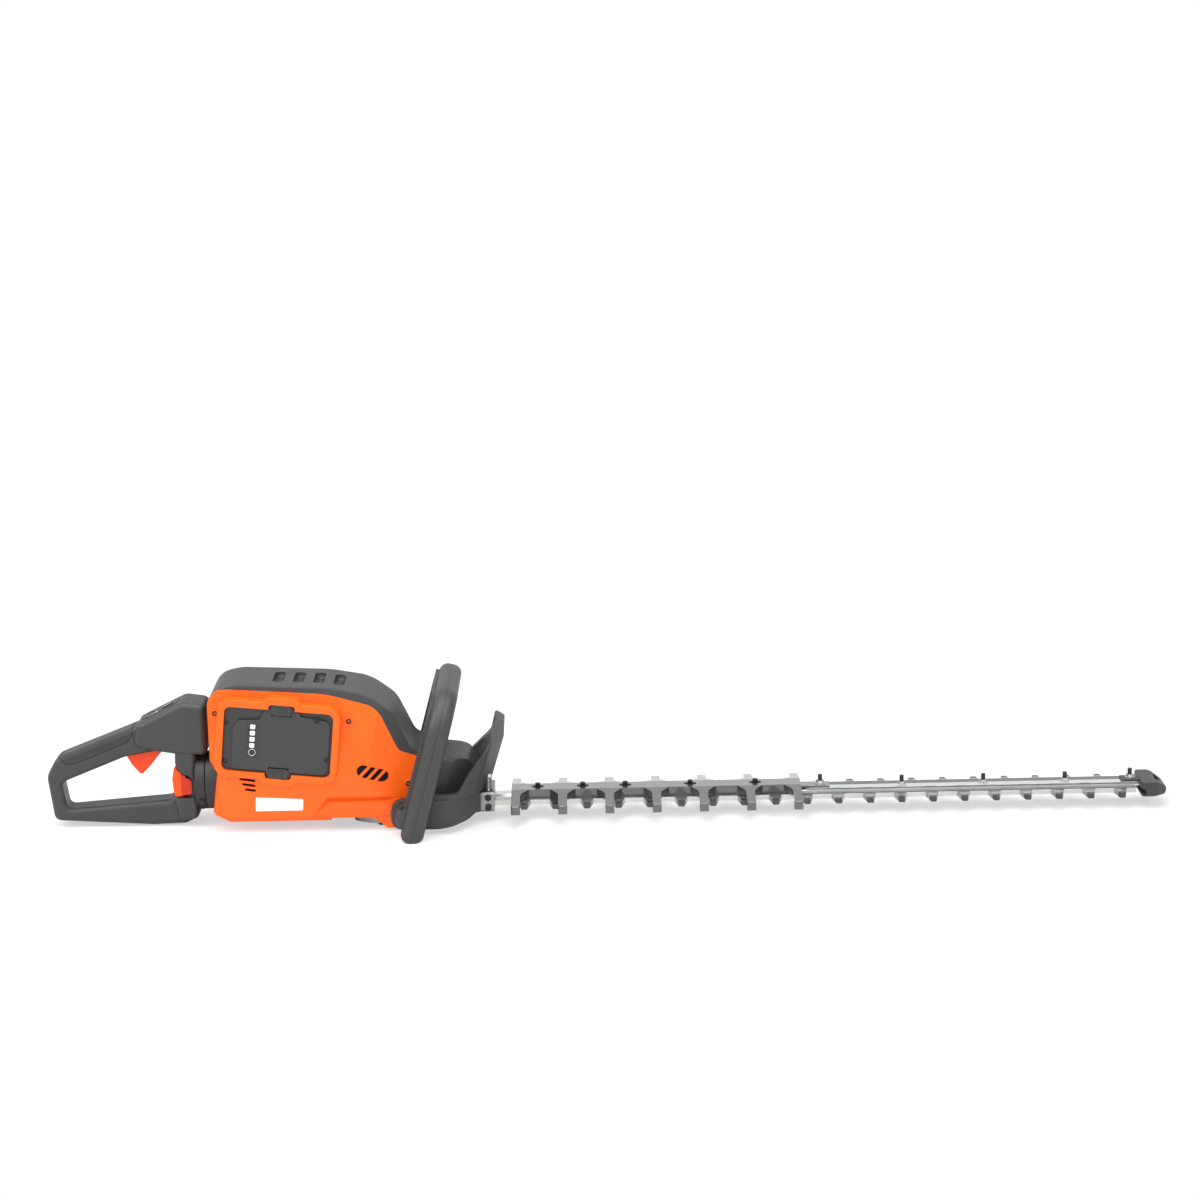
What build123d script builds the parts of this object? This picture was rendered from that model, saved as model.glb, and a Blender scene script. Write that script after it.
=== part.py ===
from build123d import *
from math import atan, cos, pi, radians, sin, sqrt, tan
import os

# Battery hedge trimmer, in millimetres. +X runs forward along the blade, +Y is the machine's left, +Z is up.
# The floor is Z = 0 and the origin lies below the middle of the machine's box.

# Clearances
seat_gap = 0.05
slide_gap = 0.1
free_gap = 0.4
shaft_gap = 0.05

# Main stations and walls
body_rear = -470.0
body_front = -222.0
shell_wall = 3.0
swivel_height = 53.0
swivel_face = -478.0
handle_rear = -669.6
gear_axis_x = -250.0
loop_axis_x = -232.4

# Body form: side outline (X, Z, corner radius), cross section and plan taper
body_bottom = 12.0
body_half_width = 60.0
body_edge = 20.0
body_outline = [
    (-448, body_bottom, 8),
    (-469, 23, 6),
    (-461.5, 76, 10),
    (body_rear, 88, 10),
    (body_rear, 172, 24),
    (-440, 180.5, 70),
    (-330, 175.5, 160),
    (-283, 167, 60),
    (-252, 144, 40),
    (-231, 99, 14),
]
body_front_top = 95.0
body_section = [(50, body_bottom, 12), (body_half_width, 66, 90), (42, 200, 0)]
body_front_half = 48.0
body_taper_start = -266.0
body_taper_lean = -0.29
body_taper_radius = 14.0
lobe_bottom = 3.5
lobe_half = 50.0
lobe_outline = [(-281, 20, 0), (-262, lobe_bottom, 2), (body_front, lobe_bottom, 0), (body_front, 20, 0)]
underside_notch = [(-329, -5, 0), (-262, -5, 0), (-280, 17, 3), (-329, 17, 3)]

# Groove between the upper body and the lower panel: section (Y, Z) and where it turns down
groove_section = [(-66, 52, 0), (-50.5, 40.5, 1), (-66, 33.5, 0)]
groove_turn = (-332.0, 44.0)
groove_fall = -48.0

# Parting line between the side shells and the top cover (X, Z, corner radius)
cover_line = [
    (-500, 168, 0),
    (-450, 176.5, 60),
    (-330, 168.5, 140),
    (-270, 152, 30),
    (-246, 98, 14),
    (-205, 82, 0),
]

# Battery and its bay
battery_centre = (-387.0, 115.0)
battery_tilt = -5.9
battery_length = 127.0
battery_height = 77.0
battery_corner = 7.0
battery_outer = -body_half_width
battery_face_depth = 24.0
battery_border = 3.0
panel_rear_inset = 11.0
panel_front_inset = 3.0
panel_low_inset = 2.0
panel_high_inset = 13.0
battery_back = 38.0
battery_shell = 3.0
bay_gap = 0.5
bay_wall = 2.5
latch_width = 30.0
latch_rise = 6.0
latch_place = 3.0
latch_travel = 3.0
latch_depth = 14.0
cell_radius = 9.2
cell_length = 64.5
cell_pitch = 20.0
cell_columns = 5
cell_rows = 2

# Gear train and knife drive
gear_module = 1.0
pinion_teeth = 14
gear_teeth = 58
tooth_addendum = 0.8
tooth_dedendum = 1.15
tooth_backlash = 0.2
pressure_angle = 20.0
gear_width = 8.0
crank_throw = 9.4
eccentric_radius = 15.5
crank_shaft_radius = 5.0
knife_thickness = 3.0
knife_bottom = 18.9
knife_half_width = 19.0
knife_travel = 8.57
yoke_gap = 0.6
yoke_wall = 5.0

# Motor
motor_radius = 27.0
motor_wall = 2.5
motor_height = 54.0
motor_shaft_radius = 4.0
stator_thickness = 8.0
rotor_gap = 0.6
fan_radius = 23.0
fan_height = 9.0

# Blade
tooth_pitch = 37.5
tooth_count = 20
first_tooth_x = -100.0
tooth_reach = 39.0
tooth_root_width = 15.0
tooth_tip_width = 6.0
knife_end = 632.0
bar_half_width = 10.0
bar_thickness = 4.0
bar_crown_half = 6.0
bar_shoulder = 2.4
bar_end = 645.0
stud_places = [255.0, 353.0, 451.0, 549.0, 627.0]
stud_radius = 2.5
nut_radius = 4.7
nut_height = 4.5
flange_radius = 6.0
flange_height = 1.3

# Finger guard
guard_half_width = 12.0
guard_reach = 57.0
finger_pitch = 56.0
finger_count = 7
first_finger_x = -110.0
finger_width = 10.5
finger_tip_round = 3.4
finger_root_width = 34.0
guard_top = 35.5
finger_tip_top = 28.5
finger_tip_bottom = 17.5
guard_screw_places = [-84.0, -30.0, 21.0, 99.0, 177.0]

# Loop handle
loop_tilt = 15.3
loop_clear = 4.0
loop_bar = 28.0
loop_depth = 27.0
loop_top = 181.0
loop_corner = 52.0
loop_edge = 10.5
loop_end_round = 11.0
loop_boss_radius = 15.0
loop_boss_place = (-235.0, 27.0)
loop_boss_inset = 9.0
bail_width = 8.0
bail_height = 11.0
bail_proud = 4.0
bail_gap = 0.7
bail_travel = 3.4

# Rear handle
grip_half_width = 17.0
grip_edge = 6.5
head_half_width = 26.0
head_edge = 7.0
head_top_reach = 31.0
swivel_ring_radius = 35.0
swivel_ring_length = 13.0
swivel_stub_radius = 14.0
sleeve_sink = 14.0
retainer_radius = 18.0
retainer_length = 4.0
trigger_half_width = 8.0
trigger_pivot = (-534.0, 98.0)
trigger_travel = 14.0
lever_half_width = 22.0
lever_cheek = 2.6
lever_pivot = (-508.0, 30.0)
lever_travel = 12.0
lever_floor = 34.0
lug_radius = 5.5
lug_half_width = 10.0
lug_top = 42.0
pin_radius = 2.5
keypad_centre = (-530.5, 141.5)
keypad_slope = 26.0
keypad_length = 48.0
keypad_width = 24.0
keypad_thickness = 2.5
button_travel = 0.8
power_button_radius = 5.0
mode_button_length = 14.0
mode_button_width = 8.0

# Body details
far_side = 120.0
free_end = 12.0
zone_top = 260.0
rim_height = 2.0
rim_depth = 22.0
rim_width = 9.0
rim_round = 1.8
front_vent_count = 4
front_vent_centre = (-277.0, 73.0)
front_vent_length = 38.0
front_vent_width = 15.0
front_vent_slope = -17.0
front_vent_lean = -28.0
front_vent_bar = 3.4
rear_vent_count = 3
rear_vent_x = -415.0
rear_vent_z = 69.0
rear_vent_step = 6.5
rear_vent_length = 19.0
rear_vent_width = 3.4
scoop_count = 4
scoop_x = -388.0
scoop_step = 24.0
scoop_width = 46.0
scoop_length = 13.0

# Battery details
latch_corner = 3.0
terminal_places = (-30.0, -10.0, 10.0, 30.0)
terminal_thickness = 1.6
terminal_height = 16.0
terminal_reach = 9.0
board_length = 92.0
board_height = 56.0
board_thickness = 1.6
switch_chip_places = (-20.0, 0.0, 20.0)
switch_chip_height = 5.0
capacitor_radius = 6.0
capacitor_height = 6.0
panel_x = -29.0
panel_length = 17.0
panel_height = 42.0
panel_depth = 1.5
panel_button_z = -15.0
charge_button_radius = 3.0
charge_button_sink = 1.2
charge_button_proud = 0.4

# Gear case and motor details
case_side = 7.0
case_tail = 18.0
case_tail_half = 24.0
case_waist = 23.0
case_front = -190.0
case_bolt_places = [
    (-296.0, -14.0), (-296.0, 14.0), (-270.0, -31.0), (-270.0, 31.0), (-200.0, -29.0), (-200.0, 29.0)
]
case_bolt_radius = 2.5
case_bolt_head = 4.5
bearing_radius = 11.0
bearing_height = 5.5
gear_hole_count = 6
gear_hole_radius = 5.0
knife_slot = 20.5
motor_bearing_radius = 9.0
stator_slots = 9
fan_blades = 9

# Blade details
bar_start = -214.0
screw_radius = 2.5
screw_head_radius = 4.2
screw_head_height = 2.6
screw_sink = 1.6
tongue_thickness = 3.0
tongue_end = 266.0
stud_head_height = 3.0
stud_head_radius = 5.5
stud_proud = 7.0
tip_rear = 637.0
tip_end = 670.5
tip_half_width = 27.0
tip_nose = 14.0
tip_wall = 3.4
tip_crown = 4.8
tip_slope = 16.0
tip_round = 2.2
tongue_back = 616.0
hang_inset = 12.0
hang_length = 22.0
hang_width = 6.0
clamp_half = 26.0
clamp_rear = -152.0
clamp_front = -136.0

# Front housing and hand guard
tray_half = 70.0
tray_bottom = 7.0
tray_top = 42.0
arm_rear = -256.0
arm_thickness = 14.0
guard_wall = 6.0
visor_lean = 17.3
visor_bend = 100.0
visor_top = 126.0
visor_tip_lean = 4.0
visor_nose = -139.0
visor_back = -206.0
visor_corner_x = -184.0
visor_shoulder = (-156.0, 46.0)

# Handle details
bail_low = 34.0
head_front = -475.0
wall_half_width = 24.0
pin_seat = 5.0
spring_width = 3.4
retainer_face = -494.0
wire_bore = 8.0
grip_inset = 4.0
grip_groove = 0.5

# Places that follow from the values above
guard_start = first_finger_x - finger_width / 2
guard_end = first_finger_x + finger_pitch * (finger_count - 1) + finger_width / 2
loop_half_width = tray_half + loop_clear + loop_bar

# Heights that follow from the knife stack
knife_top = knife_bottom + 2 * knife_thickness + slide_gap
bar_bottom = knife_top + slide_gap
bar_top = bar_bottom + bar_thickness
gear_centre_distance = gear_module * (pinion_teeth + gear_teeth) / 2
motor_axis_x = gear_axis_x - gear_centre_distance
gear_bottom = bar_top - 1.0
gear_top = gear_bottom + gear_width
case_roof_bottom = gear_top + 1.0
case_top = case_roof_bottom + 8.0
case_bottom = knife_bottom - 6.9
cover_plate_thickness = 7.0
motor_top = case_top + motor_height
swivel_clear = swivel_height + swivel_ring_radius + 1.0


# Closed face from corners given as (across, up, radius)
def rounded_face(corners):
    count = len(corners)
    turns = []
    for index, (across_mm, up_mm, radius) in enumerate(corners):
        here = Vector(across_mm, up_mm)
        before = Vector(*corners[index - 1][:2]) - here
        after = Vector(*corners[(index + 1) % count][:2]) - here
        half = radians(before.get_angle(after)) / 2
        reach = radius / tan(half)
        bisector = (before.normalized() + after.normalized()).normalized()
        start = here + before.normalized() * reach
        end = here + after.normalized() * reach
        middle = here + bisector * (radius / sin(half) - radius)
        turns.append((start, middle, end, radius))
    edges = []
    for index, (start, middle, end, radius) in enumerate(turns):
        following = turns[(index + 1) % count][0]
        if radius > 0:
            edges.append(ThreePointArc(start, middle, end))
        if (following - end).length > 0.001:
            edges.append(Line(end, following))
    return make_face(edges)


# Extrusions of a face drawn in (X, Z), (X, Y) or (Y, Z)
def across(face, low, high):
    return extrude(Plane.XZ.offset(-high) * face, high - low)


def upward(face, low, high):
    return extrude(Plane.XY.offset(low) * face, high - low)


def along(face, low, high):
    return extrude(Plane.YZ.offset(low) * face, high - low)


def block(x_span, y_span, z_span):
    middle = [(span[0] + span[1]) / 2 for span in (x_span, y_span, z_span)]
    size = [span[1] - span[0] for span in (x_span, y_span, z_span)]
    return Pos(*middle) * Box(*size)


def upright(x, y, radius, low, high):
    return Pos(x, y, (low + high) / 2) * Cylinder(radius, high - low)


def crosswise(x, z, radius, low, high):
    return Pos(x, (low + high) / 2, z) * Rot(90, 0, 0) * Cylinder(radius, high - low)


def lengthwise(y, z, radius, low, high):
    return Pos((low + high) / 2, y, z) * Rot(0, 90, 0) * Cylinder(radius, high - low)


def both_sides(solid):
    return solid + mirror(solid, Plane.XZ)


def group(solids):
    return Compound(children=[solid for solid in solids])


# Body shells

def mirrored_face(corners):
    mirrored = [(-across_mm, up_mm, radius) for across_mm, up_mm, radius in reversed(corners)]
    return rounded_face(corners + mirrored)


# Tapering plan that leans back with height, so the side creases slant
def taper_form(inset):
    front = body_front + 40
    slope = (body_half_width - body_front_half) / (body_front - body_taper_start)
    at_front = body_half_width - slope * (front - body_taper_start)
    side = -body_half_width + inset
    rear = body_rear - 90
    plan = [(rear, side, 0), (body_taper_start, side, body_taper_radius), (front, -at_front + inset, 0)]
    flipped = [(x, -y, radius) for x, y, radius in reversed(plan)]
    return extrude(rounded_face(plan + flipped), zone_top, dir=(body_taper_lean, 0, 1))


def body_form(inset):
    front = body_front + (free_end if inset > 0 else 0)
    corners = body_outline + [(front, body_front_top, 0), (front, body_bottom, 0)]
    outline = offset(rounded_face(corners), -inset) if inset else rounded_face(corners)
    half = body_half_width - inset
    form = across(outline, -half, half)
    rims = [edge for edge in form.edges() if abs(abs(edge.center().Y) - half) < 0.01]
    end = form.bounding_box().max.X
    rims = [edge for edge in rims if edge.center().X < end - 0.01]
    form = fillet(rims, body_edge - inset)
    section = offset(mirrored_face(body_section), -inset) if inset else mirrored_face(body_section)
    form &= along(section, body_rear - 5, front + 5)
    return form & taper_form(inset)


def cover_zone():
    ends = [(cover_line[-1][0], zone_top, 0), (cover_line[0][0], zone_top, 0)]
    return across(rounded_face(cover_line + ends), -far_side, far_side)


def battery_outline(margin):
    bump_length = latch_width + 2 * margin
    bump_height = battery_height + 2 * latch_rise + 2 * margin
    case = RectangleRounded(battery_length + 2 * margin, battery_height + 2 * margin, battery_corner + margin)
    bump = Pos(latch_place, 0) * RectangleRounded(bump_length, bump_height, latch_corner + margin)
    return Pos(*battery_centre) * Rot(0, 0, battery_tilt) * (case + bump)


def gear_case_outline(margin):
    wide = gear_module * gear_teeth / 2 + case_side + margin
    rear = motor_axis_x - case_tail - margin
    front = case_front + margin
    waist = gear_axis_x - case_side - case_waist
    corners = [(rear, -case_tail_half - margin, 12), (waist, -wide, 20), (front, -wide, 6)]
    mirrored = [(x, -y, radius) for x, y, radius in reversed(corners)]
    return rounded_face(corners + mirrored)


def front_vents():
    outline = SlotOverall(front_vent_length, front_vent_width)
    pitch = front_vent_length / front_vent_count
    for index in range(1, front_vent_count):
        place = pitch * index - front_vent_length / 2
        bar = Rectangle(front_vent_bar, 3 * front_vent_width)
        outline -= Pos(place, 0) * Rot(0, 0, front_vent_lean) * bar
    return [Pos(*front_vent_centre) * Rot(0, 0, front_vent_slope) * face for face in outline.faces()]


def rear_vents():
    slots = []
    for place in range(rear_vent_count):
        length = rear_vent_length - 3 * place
        spot = Pos(rear_vent_x - length / 2, rear_vent_z - rear_vent_step * place)
        slots.append(spot * Rot(0, 0, -10) * SlotOverall(length, rear_vent_width))
    return slots


# V groove along the side that turns down behind the lower panel; the margin leaves a wall behind it
def side_groove(margin):
    section = offset(rounded_face(groove_section), margin) if margin else rounded_face(groove_section)
    level = along(section, groove_turn[0], body_front + 10)
    fall = along(section, groove_turn[0] - 60, groove_turn[0])
    pivot = Pos(groove_turn[0], 0, groove_turn[1])
    back = Pos(-groove_turn[0], 0, -groove_turn[1])
    return both_sides(level + pivot * Rot(0, groove_fall, 0) * back * fall)


def battery_rim():
    low = -body_half_width - rim_height
    rim = across(battery_outline(rim_width), low, low + rim_depth)
    return fillet(rim.edges().filter_by_position(Axis.Y, low - 0.01, low + 0.01), rim_round)


def body_shells():
    lobe = across(rounded_face(lobe_outline), -lobe_half, lobe_half) & taper_form(0)
    outer = body_form(0) - side_groove(0)
    inside = body_form(shell_wall) - side_groove(shell_wall)
    shell = outer + battery_rim() + lobe - inside
    zone = cover_zone()
    cover = shell & zone
    lower = shell - zone
    lower -= across(rounded_face(underside_notch), -far_side, far_side)
    lower -= upward(gear_case_outline(free_gap), -10, 30)
    for slot in front_vents() + rear_vents():
        lower -= across(slot, -far_side, -20)
        lower -= across(slot, 20, far_side)
    lower -= across(battery_outline(bay_gap + seat_gap), -far_side, -20)
    for place in range(scoop_count):
        scoop = Pos(scoop_x + scoop_step * place, 0) * SlotOverall(scoop_width, scoop_length, 90)
        cover -= upward(scoop, 150, zone_top)
    right = lower & block((-900, 900), (-far_side, 0), (-50, zone_top))
    left = lower & block((-900, 900), (0, far_side), (-50, zone_top))
    return right, left, cover


# Battery bay and battery

def in_battery(x, y, z):
    return Pos(battery_centre[0], y, battery_centre[1]) * Rot(0, -battery_tilt, 0) * Pos(x, 0, z)


def battery_bay():
    back = battery_back + bay_gap
    liner = across(battery_outline(bay_gap + bay_wall), -far_side, back + bay_wall)
    liner &= body_form(shell_wall + seat_gap)
    liner -= across(battery_outline(bay_gap), -far_side, back)
    for place in terminal_places:
        liner -= in_battery(place, back, 0) * Box(terminal_thickness, 4 * bay_wall, terminal_height)
    return liner


def battery_terminals():
    back = battery_back + bay_gap
    blades = []
    for place in terminal_places:
        middle = back + bay_wall / 2 - terminal_reach / 2
        size = (terminal_thickness, bay_wall + terminal_reach, terminal_height - seat_gap)
        blades.append(in_battery(place, middle, 0) * Box(*size))
    return group(blades)


def control_board():
    low = battery_back + bay_gap + bay_wall
    board = in_battery(0, low + board_thickness / 2, 0) * Box(board_length, board_thickness, board_height)
    face = low + board_thickness
    for place in switch_chip_places:
        board += in_battery(place, face + switch_chip_height / 2, 8) * Box(9, switch_chip_height, 9)
    spot = in_battery(-34, face + capacitor_height / 2, -14)
    return board + spot * Rot(90, 0, 0) * Cylinder(capacitor_radius, capacitor_height)


def battery_case():
    split = battery_outer + battery_face_depth
    plain = RectangleRounded(battery_length, battery_height, battery_corner)
    inner = (battery_length - 2 * battery_shell, battery_height - 2 * battery_shell)
    hollow = RectangleRounded(*inner, battery_corner - battery_shell)
    spot = Pos(*battery_centre) * Rot(0, 0, battery_tilt)
    case = across(spot * plain, split, battery_back)
    case -= across(spot * hollow, split, battery_back - 2 * battery_shell)
    for place in terminal_places:
        depth = terminal_reach + bay_gap
        slot = Box(terminal_thickness + 2 * free_gap, 2 * depth, terminal_height + 2 * free_gap)
        case -= in_battery(place, battery_back, 0) * slot
    return case


def battery_cells():
    split = battery_outer + battery_face_depth
    cells = []
    for column in range(cell_columns):
        for row in range(cell_rows):
            x = (column - (cell_columns - 1) / 2) * cell_pitch
            z = (row - (cell_rows - 1) / 2) * cell_pitch
            spot = in_battery(x, split + cell_length / 2, z)
            cells.append(spot * Rot(90, 0, 0) * Cylinder(cell_radius, cell_length))
    return group(cells)


# Raised middle of the battery's face, with a step beside each latch
def battery_panel():
    left = -battery_length / 2 + panel_rear_inset
    right = battery_length / 2 - panel_front_inset
    low = -battery_height / 2 + panel_low_inset
    high = battery_height / 2 - panel_high_inset
    step = latch_width / 2 + 5
    top = battery_height / 2 + latch_rise
    front = latch_place + step
    rear = latch_place - step
    outline = [
        (left, low, 5), (right, low, 8), (right, high + 4, 8), (front + 3, high + 7, 4), (front - 3, top, 2),
        (rear + 3, top, 2), (rear - 5, high, 4), (left + 6, high - 2, 4), (left, high - 10, 4),
    ]
    spot = Pos(*battery_centre) * Rot(0, 0, battery_tilt)
    panel = across(spot * rounded_face(outline), battery_outer - 1, battery_outer + battery_border + 1)
    tail = across(spot * Pos(latch_place, -battery_height / 2) * Rectangle(latch_width, 3 * latch_rise),
                  battery_outer - 1, battery_outer + battery_border + 1)
    return panel + tail


def battery_cover():
    split = battery_outer + battery_face_depth
    face = across(battery_outline(0), battery_outer, split)
    front_edges = face.edges().filter_by_position(Axis.Y, battery_outer - 0.01, battery_outer + 0.01)
    face = fillet(front_edges, 2.0)
    border = across(battery_outline(10), battery_outer - 5, battery_outer + battery_border)
    face -= border - battery_panel()
    for side in (1, -1):
        place = side * (battery_height / 2 + latch_rise / 2 - latch_travel)
        pocket = Box(latch_width - 6, 2 * latch_depth, latch_rise + 2 * latch_travel + 2)
        face -= in_battery(latch_place, battery_outer, place) * pocket
    face -= in_battery(panel_x, battery_outer, 0) * Box(panel_length, 2 * panel_depth, panel_height)
    face -= in_battery(panel_x, battery_outer, panel_button_z) * Rot(90, 0, 0) * Cylinder(4, 12)
    return face


def battery_latch(side):
    height = latch_rise + 2
    place = side * (battery_height / 2 + latch_rise - height / 2)
    block_size = (latch_width - 6 - 2 * free_gap, latch_depth - free_gap, height)
    latch = in_battery(latch_place, battery_outer + (latch_depth - free_gap) / 2, place) * Box(*block_size)
    return latch


def indicator_panel():
    middle = battery_outer + panel_depth / 2
    plate = in_battery(panel_x, middle, 0) * Box(panel_length, panel_depth, panel_height)
    well = Cylinder(charge_button_radius + free_gap, 20)
    return plate - in_battery(panel_x, middle, panel_button_z) * Rot(90, 0, 0) * well


def indicator_button():
    length = panel_depth + charge_button_sink
    spot = in_battery(panel_x, battery_outer + length / 2 - charge_button_proud, panel_button_z)
    return spot * Rot(90, 0, 0) * Cylinder(charge_button_radius, length)


# Gear train, motor and knife drive

def gear_face(teeth, turn):
    pitch_radius = gear_module * teeth / 2
    base_radius = pitch_radius * cos(radians(pressure_angle))
    tip_radius = pitch_radius + gear_module * tooth_addendum
    root_radius = pitch_radius - gear_module * tooth_dedendum
    pitch_half = pi / (2 * teeth) - tooth_backlash / (2 * pitch_radius)

    def roll(radius):
        return sqrt((radius / base_radius) ** 2 - 1)

    def half_angle(radius):
        spread = roll(radius)
        at_pitch = roll(pitch_radius)
        return pitch_half - (spread - atan(spread)) + (at_pitch - atan(at_pitch))

    low = max(base_radius, root_radius)
    levels = [low + (tip_radius - low) * share for share in (0, 0.5, 1)]
    points = []
    for tooth in range(teeth):
        centre = 2 * pi * tooth / teeth + turn
        flank = [(root_radius, half_angle(low))] if root_radius < low - 0.01 else []
        flank += [(radius, half_angle(radius)) for radius in levels]
        for radius, half in flank:
            points.append((radius * cos(centre - half), radius * sin(centre - half)))
        for radius, half in reversed(flank):
            points.append((radius * cos(centre + half), radius * sin(centre + half)))
    return make_face(Polyline(*points, close=True))


def drive_gear():
    wheel = upward(gear_face(gear_teeth, pi / gear_teeth), gear_bottom, gear_top)
    wheel -= upright(0, 0, crank_shaft_radius, gear_bottom - 1, gear_top + 1)
    for index in range(gear_hole_count):
        angle = 2 * pi * index / gear_hole_count
        wheel -= upright(18 * cos(angle), 18 * sin(angle), gear_hole_radius, gear_bottom - 1, gear_top + 1)
    return Pos(gear_axis_x, 0, 0) * wheel


def eccentric(side, low):
    disc = upright(0, side * crank_throw, eccentric_radius, low, low + knife_thickness)
    disc -= upright(0, 0, crank_shaft_radius, low - 1, low + knife_thickness + 1)
    return Pos(gear_axis_x, 0, 0) * disc


def crank_shaft():
    low = case_bottom - cover_plate_thickness + 1.5
    high = case_top - 1.5
    shaft = upright(gear_axis_x, 0, crank_shaft_radius, low, high)
    collar = upright(gear_axis_x, 0, crank_shaft_radius + 3, bar_bottom + 0.2, gear_bottom)
    collar -= upright(gear_axis_x, 0, crank_shaft_radius, 0, 90)
    return shaft + collar


def bearing(x, bore, outside, low, high):
    ring = upright(x, 0, outside, low, high) - upright(x, 0, bore + shaft_gap, low - 1, high + 1)
    groove = upright(x, 0, outside - 1.5, high - 0.6, high + 1)
    groove -= upright(x, 0, bore + 1.5, high - 1, high + 2)
    return ring - groove


def crank_bearings():
    races = []
    for low in (case_bottom - bearing_height, case_roof_bottom + 1):
        races.append(bearing(gear_axis_x, crank_shaft_radius, bearing_radius, low, low + bearing_height))
    return group(races)


def gear_case():
    case = upward(gear_case_outline(0), case_bottom, case_top)
    gear_reach = gear_module * (gear_teeth / 2 + tooth_addendum) + 1.5
    pinion_reach = gear_module * (pinion_teeth / 2 + tooth_addendum) + 1.5
    case -= upright(gear_axis_x, 0, gear_reach, case_bottom - 1, case_roof_bottom)
    case -= upright(motor_axis_x, 0, pinion_reach, gear_bottom - 4, case_top + 1)
    case -= block((gear_axis_x, case_front + 1), (-knife_slot, knife_slot), (case_bottom - 1, bar_top))
    yoke_half = eccentric_radius + crank_throw + yoke_gap + yoke_wall + 1
    long_half = eccentric_radius + yoke_gap + yoke_wall + knife_travel + 1
    yoke_span = (gear_axis_x - long_half, gear_axis_x + long_half)
    case -= block(yoke_span, (-yoke_half, yoke_half), (case_bottom - 1, bar_top))
    upper_low = case_roof_bottom + 1
    case -= upright(gear_axis_x, 0, bearing_radius, upper_low - 2, upper_low + bearing_height)
    case -= upright(gear_axis_x, 0, crank_shaft_radius + 1, upper_low, case_top - 1)
    return case


def gear_case_cover():
    low = case_bottom - cover_plate_thickness
    plate = upward(gear_case_outline(-0.5), low, case_bottom)
    plate -= upright(gear_axis_x, 0, bearing_radius, case_bottom - bearing_height, case_bottom + 1)
    plate -= upright(gear_axis_x, 0, crank_shaft_radius + 1, low + 1, case_bottom)
    for x, y in case_bolt_places:
        plate -= upright(x, y, case_bolt_radius, low - 1, case_bottom + 1)
    return plate


def gear_case_bolts():
    low = case_bottom - cover_plate_thickness
    bolts = []
    for x, y in case_bolt_places:
        bolt = upright(x, y, case_bolt_radius, low, case_bottom)
        bolt += upright(x, y, case_bolt_head, low - 2.5, low)
        bolt -= upward(Pos(x, y) * RegularPolygon(2.2, 6), low - 3, low - 1)
        bolts.append(bolt)
    return group(bolts)


def motor_can():
    low = case_top
    can = upright(motor_axis_x, 0, motor_radius, low, motor_top)
    can -= upright(motor_axis_x, 0, motor_radius - motor_wall, low + 4, motor_top - 4)
    can -= upright(motor_axis_x, 0, motor_bearing_radius, low - 1, motor_top + 1)
    for index in range(6):
        angle = 60 * index + 30
        window = Rot(0, 0, angle) * Pos(motor_radius * 0.62, 0, 0) * Box(9, 12, 20)
        can -= Pos(motor_axis_x, 0, motor_top) * window
    return can


def motor_bearings():
    low = bearing(motor_axis_x, motor_shaft_radius, motor_bearing_radius, case_top, case_top + 4)
    high = bearing(motor_axis_x, motor_shaft_radius, motor_bearing_radius, motor_top - 4, motor_top)
    return group([low, high])


def motor_stator():
    low = case_top + 11
    high = motor_top - 11
    outside = motor_radius - motor_wall
    ring = upright(motor_axis_x, 0, outside, low, high)
    ring -= upright(motor_axis_x, 0, outside - stator_thickness, low - 1, high + 1)
    for index in range(stator_slots):
        slot = Rot(0, 0, 360 * index / stator_slots) * Pos(outside - stator_thickness, 0, 0) * Box(9, 3, 90)
        ring -= Pos(motor_axis_x, 0, (low + high) / 2) * slot
    return ring


def rotor_core():
    radius = motor_radius - motor_wall - stator_thickness - rotor_gap
    low = case_top + 12
    high = motor_top - 12
    core = upright(motor_axis_x, 0, radius, low, high)
    return core - upright(motor_axis_x, 0, motor_shaft_radius, low - 1, high + 1)


def motor_shaft():
    return upright(motor_axis_x, 0, motor_shaft_radius, gear_bottom - 1, motor_top + fan_height + 3)


def motor_pinion():
    pinion = upward(gear_face(pinion_teeth, 0), gear_bottom, gear_top)
    pinion -= upright(0, 0, motor_shaft_radius, gear_bottom - 1, gear_top + 1)
    return Pos(motor_axis_x, 0, 0) * pinion


def cooling_fan():
    low = motor_top + 2
    fan = upright(0, 0, fan_radius, low, low + 2)
    fan += upright(0, 0, motor_shaft_radius + 3, low, low + fan_height)
    for index in range(fan_blades):
        blade = Rot(0, 0, 360 * index / fan_blades) * Pos(fan_radius / 2 + 3, 0, low + fan_height / 2)
        fan += blade * Rot(0, 0, 25) * Box(fan_radius - 9, 1.6, fan_height)
    fan -= upright(0, 0, motor_shaft_radius, low - 1, low + fan_height + 1)
    return Pos(motor_axis_x, 0, 0) * fan


# Blade

def tooth_row(side, count, start):
    points = []
    for index in range(count):
        centre = start + index * tooth_pitch
        points.append((centre - tooth_root_width / 2, side * knife_half_width))
        points.append((centre - tooth_tip_width / 2, side * tooth_reach))
        points.append((centre + tooth_tip_width / 2, side * tooth_reach))
        points.append((centre + tooth_root_width / 2, side * knife_half_width))
    return points


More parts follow.
